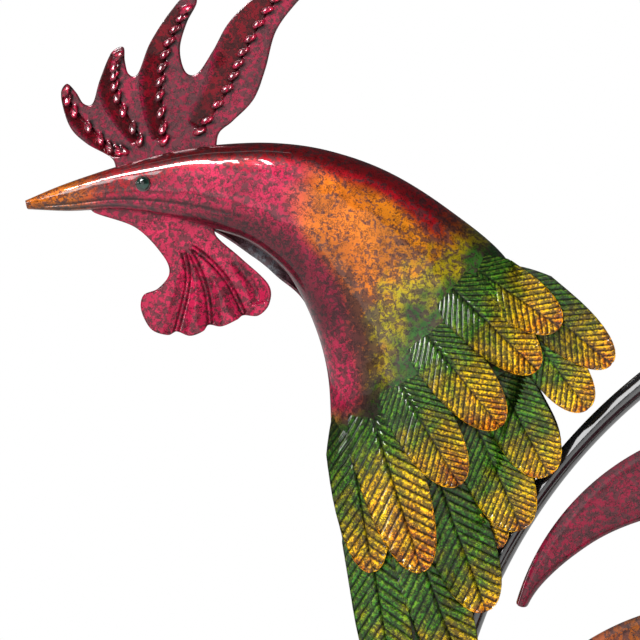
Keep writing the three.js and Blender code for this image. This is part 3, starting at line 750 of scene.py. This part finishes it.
def feather_grid(length, half, number, pitch, tuck):
    """Places along and across a feather whose rows follow its slanted barbs."""
    columns = np.array([0, 0.05, 0.1, 0.16, 0.25, 0.36, 0.48, 0.6, 0.72, 0.83, 0.91, 0.96, 0.99, 1.0])
    columns = np.concatenate([-columns[:0:-1], columns])
    rows = np.arange(-tuck - BARB_SLOPE * half, length, pitch / 9)
    taper = (1 - np.abs(columns) ** FEATHER_SIDE) ** (1 / FEATHER_POINT)
    tip_edge = length * (FEATHER_WIDEST + (1 - FEATHER_WIDEST) * taper)
    wave = np.mod((rows / pitch + 0.23 * number)[:, None] + 0.5 * (columns > 0)[None], 1.0)
    notch = 0.5 * MM * ease(0.25, 0.0, np.abs(wave - 0.5))
    along = rows[:, None] + BARB_SLOPE * half * np.abs(columns)[None]
    along = np.clip(along, -tuck, tip_edge[None] - notch)
    shoulder = np.sqrt(np.clip((along + tuck) / (0.3 * length), 0.02, 1))
    across = columns[None] * half * FEATHER_SPREAD * shoulder
    return columns, wave, tip_edge, along, across


def feather_rest(node, neck_cast, along, across, tip_edge, place, sink):
    """y of a feather's middle surface: sunk this much in the neck at its root, then on its CAD solid."""
    cast = caster(frame["nodes"][node])
    rest = np.full(along.shape, np.nan)
    neck = np.full(along.shape, np.nan)
    for i, j in np.ndindex(*along.shape):
        s = np.clip(along[i, j], 0.03 * tip_edge[j], 0.93 * tip_edge[j])
        x, z = place(s, 0.93 / FEATHER_SPREAD * across[i, j])
        hit, shell = cast(x, z), neck_cast(x, z)
        height = 0
        if shell is not None:
            neck[i, j] = shell
            height = HUB.y - shell
        if hit is not None:
            cape = (height + CAPE_EDGE + math.hypot(height - CAPE_EDGE, CAPE_EASE)) / 2
            rest[i, j] = HUB.y - cape - STACK_SCALE * (HUB.y - hit - cape)
    rest = np.where(np.isnan(rest), np.nanmean(rest), rest)
    window = np.hanning(25)
    padded = np.pad(rest, ((12, 12), (0, 0)), mode="edge")
    smooth = [np.convolve(column, window / window.sum(), mode="valid") for column in padded.T]
    rise = ease(0.02, 0.62, along / tip_edge.max())
    rest = np.stack(smooth, axis=1)
    return np.where(np.isnan(neck), rest, lerp(neck + sink, rest, rise))


def feather_emboss(wave, vein, u, fade):
    """Height of barbs, their grooves and the double-edged vein."""
    barb = ease(0.0, 0.2, wave) * ease(1.0, 0.7, wave)
    strength = ease(0.6 * MM, 2.0 * MM, vein) * fade
    lines = (0.4 * barb + 0.3 * bell(wave - 0.35, 0.1)) * MM * strength
    groove = bell(vein, 0.45 * MM) * ease(0.97, 0.85, u)
    rib = bell(vein - 1.2 * MM, 0.45 * MM)
    return lines + (0.3 * rib - 0.5 * groove) * MM * fade


def feather_look(number, coarse, tucked, x, z, columns, wave, across, u, rooted):
    """Paint, speckle and shade: green, then gold on the tip and the crests of the barbs, the crests
    partly painted highlight, and dark in the grooves. u is the place along the feather and rooted the
    same from its hidden root."""
    turn = GOLD_STARTS[number] - 0.05 * np.abs(columns)[None]
    tint = np.where(u < turn, 0.6 * u / turn, 0.6 + 0.4 * (u - turn) / (1 - turn))
    tint = tint + 0.15 * blotches(x, z) * ease(0.2, 0.5, u)
    paint = blend_colours(FEATHER_COLOURS, np.clip(tint, 0, 1))
    paint = lerp(neck_paint(x, z, 0, 50), paint, ease(0.02, 0.22, rooted)[..., None])
    ripe = ease(turn - 0.2, turn + 0.12, u)
    crest = bell(wave - 0.35, 0.16) * lerp(0.25, 1, ripe)
    # Gold on the barb crests: partly gold paint on the crests, partly painted highlight.
    paint = paint_over(paint, GOLD, 0.45 * crest)
    groove = np.exp(-((np.minimum(wave, 1 - wave) / GROOVE_SHARE) ** 4))
    # Darker side edges: partly the feathers' dark outline, partly painted shade where one feather lies
    # over the next.
    edge = ease(0.9, 1.0, np.abs(columns))[None]
    shade = (1 - 0.85 * groove) * (1 - 0.85 * bell(across, 0.5 * MM)) * (1 - 0.6 * edge)
    # Brighter on the gold tips, with painted highlight along the crests.
    shade = shade * (0.85 + 0.3 * ripe + 0.45 * crest)
    # Painted light on the tucked feathers, most at the root, lifting them out of the shade of the row
    # above.
    if tucked:
        shade = shade * lerp(1.9, 1.15, ease(0, 0.6, u))
    # Painted shade on the roots of the coarse feathers.
    elif coarse:
        shade = shade * lerp(0.45, 1.0, ease(0.05, 0.4, u))
    speckle = 0.63 + 0.05 * ease(0.3, 0.7, u) - 0.15 * crest
    return paint.reshape(-1, 3), speckle.reshape(-1, 1), grey(shade).reshape(-1, 3)


def feather(name, node, number, neck_cast, mirror, stands_for):
    """An embossed feather on its CAD solid, or with mirror its copy on the far side."""
    root, axis, side, length, half = feather_axis(node)
    if mirror:
        length = length * BACK_REACH
    coarse = number + 1 in COARSE_FEATHERS
    tucked = number + 1 in TUCKED_FEATHERS
    pitch = COARSE_BARBS if coarse else FINE_BARBS
    tuck = TUCK * ease(0, 3, number) if tucked else 0.0
    sink = (0.1 * number - 1.2) * MM if tucked else ROOT_SINK
    columns, wave, tip_edge, along, across = feather_grid(length, half, number, pitch, tuck)

    def place(s, a):
        return root[0] + axis[0] * s + side[0] * a, root[1] + axis[1] * s + side[1] * a

    x, z = place(along, across)
    u = along / length
    rooted = (along + tuck) / length
    rest = feather_rest(node, neck_cast, along, across, tip_edge, place, sink)
    rest = rest + 0.6 * MM * (columns[None] ** 2) * ease(0.1, 0.5, u)
    emboss = feather_emboss(wave, np.abs(across), u, ease(0.08, 0.42, rooted))
    emboss = emboss * (1.0 if coarse else 0.6)
    front = rest - emboss
    rear = rest + 0.5 * MM - 0.6 * emboss
    if mirror:
        front, rear = 2 * HUB.y - front, 2 * HUB.y - rear
    vertices = np.vstack([point_list(x, y, z) for y in (front, rear)])
    paint, speckle, shade = feather_look(number, coarse, tucked, *mm_from_hub(x, z), columns, wave,
                                         across, u, rooted)
    # The inner face, turned towards the neck, takes the paint at 0.3: painted shade.
    paints = np.vstack([np.hstack([paint, speckle]), np.hstack([paint * 0.3, speckle])])
    return make_piece(name, vertices, sheet_faces(*x.shape), "feather_paint", stands_for, paints,
                      np.tile(shade, (2, 1)), merge=0.02 * MM)


# ---- wind wheel

VANE_COLOURS = [(0, CRIMSON), (0.3, CRIMSON), (0.5, ORANGE), (0.72, OLIVE), (1, GREEN)]
VANE_DEPTH, VANE_SPECKLE = 0.5, 0.58


def vane(number):
    """A sickle vane with a rounded tip, pitched towards its tip and flat at its root."""
    rows, columns = 150, 15
    u, v = np.meshgrid(np.linspace(0, 1, rows), np.linspace(0, 1, columns), indexing="ij")
    widths = spline([[w] for w in VANE_WIDTHS], rows)
    angle = np.radians(lerp(VANE_TIP_ANGLE, VANE_ROOT_ANGLE, u))
    round_tip = 1.8 * (1 - np.sqrt(1 - (2 * v - 1) ** 2 * 0.98)) * ease(0.06, 0, u)
    angle = angle - round_tip / VANE_ARC_RADIUS
    radius = VANE_ARC_RADIUS - widths * v
    x = VANE_ARC_X + radius * np.cos(angle)
    z = VANE_ARC_Z + radius * np.sin(angle)
    twist = 1 - ease(0.6, 0.88, u)
    middle = (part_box("hub_plate_front")[1][1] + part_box("hub_plate_rear")[0][1]) / 2
    y = middle + MM * twist * (VANE_PITCH * (v - 0.5) * widths - VANE_BOW * 4 * v * (1 - v))
    turn = 2 * math.pi * (number - 1) / VANE_COUNT
    turned_x = HUB.x + MM * (x * math.cos(turn) - z * math.sin(turn))
    turned_z = HUB.z + MM * (x * math.sin(turn) + z * math.cos(turn))
    edge = np.minimum(v, 1 - v) * widths
    half = 0.55 * MM * np.sqrt(1 - np.clip(1 - edge / 0.5, 0, 0.85) ** 2)
    vertices = np.vstack([point_list(turned_x, y + s * half, turned_z) for s in (-1, 1)])
    paint = (blend_colours(VANE_COLOURS, u) * VANE_DEPTH).reshape(-1, 3)
    paint = np.hstack([paint, np.full((len(paint), 1), VANE_SPECKLE)])
    # Painted shade along the vane's rounded edges.
    shade = grey(1 - 0.5 * ease(1.2, 0.3, edge)).reshape(-1, 3)
    return make_piece(f"painted_vane_{number}", vertices, sheet_faces(rows, columns), "vane_paint",
                      [f"vane_{number}"], np.tile(paint, (2, 1)), np.tile(shade, (2, 1)), "wheel")


# ---- turned and swept parts


def ring_faces(rows, around, closed):
    """Quads of rows of points round a loop, the last row joined to the first if closed."""
    faces = []
    for i in range(rows if closed else rows - 1):
        for j in range(around):
            n, k = (i + 1) % rows, (j + 1) % around
            faces.append((i * around + j, n * around + j, n * around + k, i * around + k))
    return faces


def about(centre, axis, first, second, height):
    """Points at centre plus two grids across an axis, "y" or "z", and one along it."""
    order = (first, second, height) if axis == "z" else (first, height, second)
    return point_list(*order) + np.array(centre)


def turned(name, profile, centre, axis, slot, stands_for=(), body="frame", reach=None, paint=(1, 1, 1)):
    """Turns a closed profile of (radius, height) round an axis through centre.
    reach(angle, row) scales the radius, for knurls and hexagons."""
    profile = np.array(profile)
    angle = circle(96)[None]
    row = np.arange(len(profile))[:, None]
    radius = profile[:, 0:1] * (reach(angle, row) if reach else np.ones_like(angle))
    vertices = about(centre, axis, radius * np.cos(angle), radius * np.sin(angle), profile[:, 1:2])
    return make_piece(name, vertices, ring_faces(*radius.shape, True), slot, stands_for, paint,
                      body=body, merge=0.001 * MM)


def hoop(name, centre, axis, radius, bar, around, stands_for=()):
    """A round bar bent to a hoop about an axis. bar is its own radius at even steps round."""
    turn, angle, bar = circle(len(bar))[:, None], circle(around)[None], bar[:, None]
    reach = radius + bar * np.cos(angle)
    vertices = about(centre, axis, reach * np.cos(turn), reach * np.sin(turn), bar * np.sin(angle))
    return make_piece(name, vertices, ring_faces(*reach.shape, True), ENAMEL, stands_for)


def spans(node, axis):
    """Centre, radius, low end and high end of a round CAD node about an axis."""
    low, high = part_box(node)
    middle = (low + high) / 2
    if axis == "z":
        return (middle.x, middle.y, 0), (high.x - low.x) / 2, low.z, high.z
    return (middle.x, 0, middle.z), (high.x - low.x) / 2, low.y, high.y


def tube_profile(inner, outer, low, high, bevel):
    """Closed profile of a tube, or a rod if inner is 0, with its outer corners rounded."""
    corner = quarter_arc(bevel, bevel, 5)
    top = [(outer - bevel + r, high - bevel + h) for r, h in corner]
    bottom = [(outer - bevel + r, low + bevel - h) for r, h in corner[::-1]]
    return [(inner, low), *bottom, *top, (inner, high)]


def round_part(name, node, axis, slot, inner=0.0, bevel=0.5 * MM, body="frame"):
    """A smooth tube or rod of a CAD node's own length and radius."""
    centre, radius, low, high = spans(node, axis)
    return turned(name, tube_profile(inner, radius, low, high, bevel), centre, axis, slot, [node], body)


def hexagonal(first, last):
    """Radius scale that turns the profile's rows from first to last into hexagons."""

    def reach(angle, row):
        flat = math.cos(math.pi / 6) / np.cos(np.mod(angle + math.pi / 6, math.pi / 3) - math.pi / 6)
        return np.where((row >= first) & (row <= last), flat, 1.0)

    return reach


def nut(name, node, hole):
    """A hexagonal nut with chamfered corners."""
    centre, radius, low, high = spans(node, "y")
    flat, bevel = 0.86 * radius, 0.7 * MM
    profile = [(hole, low), (flat, low), (radius, low + bevel), (radius, high - bevel), (flat, high),
               (hole, high)]
    return turned(name, profile, centre, "y", STEEL, [node], reach=hexagonal(2, 3))


def axle_bolt(shank):
    """The bolt: chamfered hexagon head at the back, plain shank through the hub."""
    centre, radius, tip, back = spans("axle_bolt", "y")
    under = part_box("rear_washer")[1][1] + CLEARANCE
    bevel = 0.7 * MM
    profile = [(0, tip), (shank - bevel, tip), (shank, tip + bevel), (shank, under), (radius, under),
               (radius, back - bevel), (radius * 0.84, back), (0, back)]
    return turned("hex_bolt", profile, centre, "y", STEEL, ["axle_bolt"], reach=hexagonal(4, 5))


def acorn_nut():
    """A dome nut on the front of the axle: hexagon below, ball above."""
    centre, radius, front, back = spans("acorn_nut", "y")
    ball, skirt = 0.86 * radius, back - 6 * MM
    dome = [(r, skirt + h) for r, h in quarter_arc(ball, front - skirt, 12)[::-1]]
    profile = [*dome, (radius, skirt + 0.6 * MM), (radius, back - 0.5 * MM), (ball, back), (0, back)]
    return turned("dome_nut", profile, centre, "y", STEEL, ["acorn_nut"], reach=hexagonal(12, 13))


def thumb_screw(node):
    """A knurled thumb screw with a turned collar, its stem pointing at the pole."""
    centre, radius, stem, back = spans(node, "y")
    knob = stem + 6.35 * MM
    thin, collar = 2.4 * MM, 0.7 * radius
    profile = [(0, stem), (thin, stem), (thin, knob), (collar, knob), (collar, knob + 1.2 * MM),
               (radius, knob + 1.8 * MM), (radius, back - 0.6 * MM), (0.9 * radius, back), (0, back)]

    def knurl(angle, row):
        return np.where((row >= 5) & (row <= 6), 1 - 0.05 * (np.cos(24 * angle) > 0), 1.0)

    return turned(f"knurled_{node}", profile, centre, "y", STEEL, [node], reach=knurl)


def bearing(node):
    """A shielded ball bearing: inner ring, recessed shield and outer ring in one piece."""
    centre, radius, low, high = spans(node, "y")
    inner, outer, recess = 6.1 * MM, 9.6 * MM, 0.5 * MM
    half = [(BEARING_BORE, low), (inner, low), (inner, low + recess), (outer, low + recess),
            (outer, low), (radius, low)]
    profile = half + [(r, low + high - h) for r, h in half[::-1]]
    return turned(f"shielded_{node}", profile, centre, "y", STEEL, [node], "wheel")


def eye(name, node, side):
    """A glossy domed bead in a thin dark collar; side is -1 for the near half."""
    centre, radius, low, high = spans(node, "y")
    base, crown = (high, low) if side < 0 else (low, high)
    sunk = base - side * 1.2 * MM
    dome = [(r, base + h) for r, h in quarter_arc(radius, crown - base, 14)]
    bead = turned(name, [(0, sunk), (radius, sunk), *dome], centre, "y", "eye_bead", [node])
    collar = [(radius + 0.3 * MM * math.cos(t), base - side * (0.5 - 0.6 * math.sin(t)) * MM)
              for t in circle(12)]
    return [bead, turned(f"{name}_collar", collar, centre, "y", ENAMEL)]


def hub_plate(node, outside):
    """A painted clamp disc with a rolled rim and a raised step, and a rivet for each vane."""
    centre, radius, low, high = spans(node, "y")
    face, back = (low, high) if outside < 0 else (high, low)
    step = face + 0.35 * (face - back)
    profile = [(PLATE_BORE, back), (radius - 0.6 * MM, back), (radius, (face + back) / 2),
               (radius - 0.8 * MM, face), (0.62 * radius, face), (0.58 * radius, step),
               (PLATE_BORE, step)]
    turned(f"painted_{node}", profile, centre, "y", "vane_paint", [node], "wheel", paint=RUST)
    dome = [(r, face + h) for r, h in quarter_arc(RIVET, math.copysign(1.5 * MM, outside), 7)]
    for number in range(VANE_COUNT):
        turn = 2 * math.pi * (number + 0.12) / VANE_COUNT
        at = (HUB.x + 0.8 * radius * math.cos(turn), 0, HUB.z + 0.8 * radius * math.sin(turn))
        profile = [(0, back), (RIVET, back), *dome]
        turned(f"rivet_{node}_{number + 1}", profile, at, "y", STEEL, body="wheel")


def line_frames(points, steps):
    """Places along a smooth line in the x-z plane, and the unit normals there."""
    line = spline(points, steps)
    way = np.gradient(line, axis=0)
    way /= np.linalg.norm(way, axis=1)[:, None]
    return line, np.stack([-way[:, 1], way[:, 0]], axis=1)


def prong(node, side):
    """One bent round prong, drawn out to a point in the soil."""
    low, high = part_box(node)
    radius = (high.y - low.y) / 2
    foot_x = (high.x if side > 0 else low.x) - side * radius
    inner_x = low.x if side > 0 else high.x
    top = high.z - radius
    foot = [(inner_x, top), (inner_x + (foot_x - inner_x) * 0.65, top - 0.5 * MM),
            (foot_x - side * 5 * MM, top - 7 * MM), (foot_x, top - 26 * MM),
            (foot_x, (top + low.z) / 2), (foot_x, low.z)]
    steps, around = 140, 28
    line, across = line_frames(foot, steps)
    angle = circle(around)[None]
    size = radius * np.clip((line[:, 1] - low.z) / (14 * MM), 0.04, 1)[:, None]
    size = size * (0.75 + 0.25 * ease(-1, 3, np.arange(steps)))[:, None]
    flat = line[:, None] + across[:, None] * (size * np.cos(angle))[..., None]
    vertices = point_list(flat[..., 0], HUB.y + size * np.sin(angle), flat[..., 1])
    last = (steps - 1) * around
    faces = ring_faces(steps, around, False)
    faces += [tuple(range(around)), tuple(range(last + around - 1, last - 1, -1))]
    return make_piece(f"bent_{node}", vertices, faces, ENAMEL, [node])


def ring_bar():
    """The ring's round bar with its butt weld at the foot."""
    turn = circle(360)
    weld = bell((turn - 1.5 * math.pi) * RING_RADIUS, 4 * MM)
    return hoop("ring_bar", HUB, "y", RING_RADIUS, BAR_RADIUS * (1 + 0.06 * weld), 28, ["ring_frame"])


def weld_bead(name, height, radius, thickness):
    """A rippled fillet of weld round an upright joint below or above the wheel axis."""
    bead = thickness * (1 + 0.14 * np.sin(16 * circle(96)))
    return hoop(name, (HUB.x, HUB.y, height), "z", radius, bead, 12)


# ---- assembly

front_half = neck_half(-1)
neck_cast = caster(front_half)
head_pieces = [front_half, neck_half(1)]

sheet_pieces = [
    relief_sheet("embossed_comb", "comb", COMB_OUTLINE, comb_relief, comb_shade, 0.6, 0.6),
    relief_sheet("ribbed_wattle", "wattle", WATTLE_OUTLINE, wattle_relief, wattle_shade, 1.08, 0.56),
]

feather_nodes = sorted(name for name in frame["nodes"] if name.startswith("feather_"))
feather_pieces = []
for number, node in enumerate(feather_nodes):
    back_row = "cape_back_lower" if number < len(feather_nodes) // 2 else "cape_back_upper"
    feather_pieces += [
        feather(f"plume_front_{number + 1:02d}", node, number, neck_cast, False, [node]),
        feather(f"plume_back_{number + 1:02d}", node, number, neck_cast, True, [back_row]),
    ]

for number in range(1, VANE_COUNT + 1):
    vane(number)

bar = ring_bar()
for name, node in (("upper_strut", "strut_upper"), ("lower_strut", "strut_lower")):
    round_part(name, node, "z", ENAMEL)
round_part("turned_boss", "hub_boss", "y", ENAMEL, BOLT_HOLE, 1 * MM)
for name, node in (("back_washer", "rear_washer"), ("nose_washer", "front_washer")):
    round_part(name, node, "y", STEEL, BOLT_HOLE, 0.3 * MM)
round_part("turned_sleeve", "hub_sleeve", "y", STEEL, SLEEVE_SEAT, 0.8 * MM, "wheel")
nut("hex_lock_nut", "lock_nut", BOLT_HOLE)
axle_bolt(4 * MM)
acorn_nut()
bearing("bearing_front")
bearing("bearing_rear")
hub_plate("hub_plate_front", -1)
hub_plate("hub_plate_rear", 1)
head_pieces += eye("bead_front", "eye_front", -1)
head_pieces += eye("bead_back", "eye_back", 1)
round_part("socket_sleeve", "pole_socket", "z", ENAMEL, 0.0, 1.2 * MM)
round_part("coupler_sleeve", "pole_coupler", "z", ENAMEL, COUPLER_BORE, 0.8 * MM)
round_part("upper_tube", "upper_pole", "z", ENAMEL, TUBE_BORE, 0.3 * MM)
for node in ("socket_screw", "coupler_screw_lower", "coupler_screw_upper"):
    thumb_screw(node)
prong("fork_prong_left", -1)
prong("fork_prong_right", 1)

weld_bead("weld_strut_upper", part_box("strut_upper")[1].z, BAR_RADIUS, 1.6 * MM)
weld_bead("weld_strut_lower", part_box("strut_lower")[0].z, BAR_RADIUS, 1.6 * MM)
weld_bead("weld_socket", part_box("pole_socket")[1].z, 5.5 * MM, 2.2 * MM)
weld_bead("weld_fork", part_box("fork_prong_left")[1].z - 4 * MM, spans("upper_pole", "z")[1], 2 * MM)

slots = {part["node"]: part["material_slot"] for part in frame["record"]["subparts"]}
for name, solid in frame["nodes"].items():
    for holder in solid.material_slots:
        holder.link = "OBJECT"
        holder.material = MATERIALS[slots[name]]

# ---- floor, light and camera

HEAD = HUB + Vector((-0.2875, 0, 0.2104))  # middle of the picture, behind the eye
SENSOR = 36  # mm
SEEN_WIDTH = 275.8 * MM
FLOOR_REACH, FLOOR_GAP = 60, 0.5 * MM
FLOOR_SUN, FLOOR_SUN_SPREAD = 0.72, math.radians(60)  # W/m2, and how wide the sun looks
BACKDROP, SKY, REFLECTED = (1.0, 1.0, 1.0), (0.5, 0.5, 0.5), (0.05, 0.05, 0.055)


def aim(name, data, target, azimuth, elevation, distance, roll=0):
    """An object that faces target from an azimuth (0 is the front) and elevation in degrees."""
    a, e = math.radians(azimuth), math.radians(elevation)
    away = Vector((math.sin(a) * math.cos(e), -math.cos(a) * math.cos(e), math.sin(e)))
    made = add_object(name, data)
    made.location = target + away * distance
    made.rotation_mode = "QUATERNION"
    made.rotation_quaternion = away.to_track_quat("Z", "Y") @ Quaternion((0, 0, 1), math.radians(roll))
    return made


def add_floor():
    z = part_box("lower_pole")[0].z - FLOOR_GAP
    corners = [(x * FLOOR_REACH, y * FLOOR_REACH, z) for x, y in ((-1, -1), (1, -1), (1, 1), (-1, 1))]
    mesh = bpy.data.meshes.new("floor")
    mesh.from_pydata(corners, [], [(0, 1, 2, 3)])
    mesh.materials.append(pale_floor())
    floor = add_object("floor", mesh)
    return floor


def add_light(name, azimuth, elevation, distance, width, height, watts, roll=0):
    """An area light that faces the head and isn't seen by the camera."""
    data = bpy.data.lights.new(name, "AREA")
    data.shape = "RECTANGLE"
    data.size, data.size_y = width, height
    data.energy = watts
    light = aim(name, data, HEAD, azimuth, elevation, distance, roll)
    light.visible_camera = False
    return light


def light_only(light, pieces, state="INCLUDE"):
    """Lets a light reach only these pieces, or with EXCLUDE all but these."""
    lit = bpy.data.collections.new(f"lit_by_{light.name}")
    for piece in pieces:
        lit.objects.link(piece)
    for entry in lit.collection_objects:
        entry.light_linking.link_state = state
    light.light_linking.receiver_collection = lit


def light_floor(floor):
    """An even light from straight above that reaches the floor only."""
    data = bpy.data.lights.new("floor_sun", "SUN")
    data.energy = FLOOR_SUN
    data.angle = FLOOR_SUN_SPREAD
    light_only(add_object("floor_sun", data), [floor])


def add_glint(pieces, *placing):
    """A light that only shows as a reflection in the gloss of some pieces, or of all if None."""
    light = add_light(*placing)
    light.visible_diffuse = False
    if pieces:
        light_only(light, pieces)


def add_world():
    """White behind the object, an even grey for diffuse light and near black in reflections."""
    world = bpy.data.worlds.new("studio")
    world.use_nodes = True
    tree = world.node_tree
    path = tree.nodes.new("ShaderNodeLightPath")
    shown = mix(tree, path.outputs["Is Diffuse Ray"], REFLECTED, SKY)
    shown = mix(tree, path.outputs["Is Camera Ray"], shown, BACKDROP)
    tree.links.new(shown, tree.nodes["Background"].inputs["Color"])
    bpy.context.scene.world = world


def add_camera():
    """A long lens in front of the head's height, looking slightly up at it."""
    azimuth, elevation, distance = 5.5, -4, 3.0
    tilt = math.sin(math.radians(azimuth)) * math.sin(math.radians(elevation))
    data = bpy.data.cameras.new("camera")
    data.sensor_width = SENSOR
    data.lens = SENSOR * distance / SEEN_WIDTH
    data.clip_end = 200
    bpy.context.scene.camera = aim("camera", data, HEAD, azimuth, elevation, distance,
                                   -math.degrees(tilt))


bpy.context.scene.view_settings.view_transform = "Standard"
floor = add_floor()
add_world()
# Lights: name, azimuth, elevation, distance, width and height in metres, watts, roll in degrees.
tent = add_light("tent", 0, 0, 4.6, 12, 12, 250)
tent.visible_glossy = False
light_only(tent, [floor], "EXCLUDE")
light_floor(floor)
add_glint(None, "tent_gloss", 0, 0, 4.6, 12, 12, 150)
for size in (2.2, 2.5, 2.8):
    panel = add_light(f"front_{size}", -9, 9, 4.2, size, size, 2.6 * size**2)
    light_only(panel, [bar], "EXCLUDE")
add_light("left", -72, 15, 2.0, 0.25, 0.5, 4)
add_light("key", -32, 36, 3.0, 1.6, 1.6, 18).visible_glossy = False
add_glint(head_pieces, "rim", -75, 66, 1.7, 0.07, 1.4, 0.6)
add_glint(head_pieces, "streak", -34.5, 44, 2.0, 0.25, 0.6, 42, -41)
add_glint(head_pieces, "beak", -34, 24, 2.0, 0.3, 0.5, 5)
add_glint(head_pieces, "blob_low", -21, 47, 2.0, 0.1, 0.3, 5, 18)
add_glint(head_pieces, "blob_high", -14, 53, 2.0, 0.1, 0.3, 5, 18)
add_glint(sheet_pieces[:1], "bead_gloss", -30, 44, 2.0, 0.65, 0.65, 60)
add_glint(sheet_pieces[1:], "lobe_gloss", -24, 30, 2.0, 0.2, 0.2, 4)
add_glint(feather_pieces, "barb_gloss", -42, 34, 2.0, 0.5, 0.5, 24)
add_glint([bar], "bar_gloss", -22, 17, 2.0, 1.4, 1.4, 19)
add_camera()
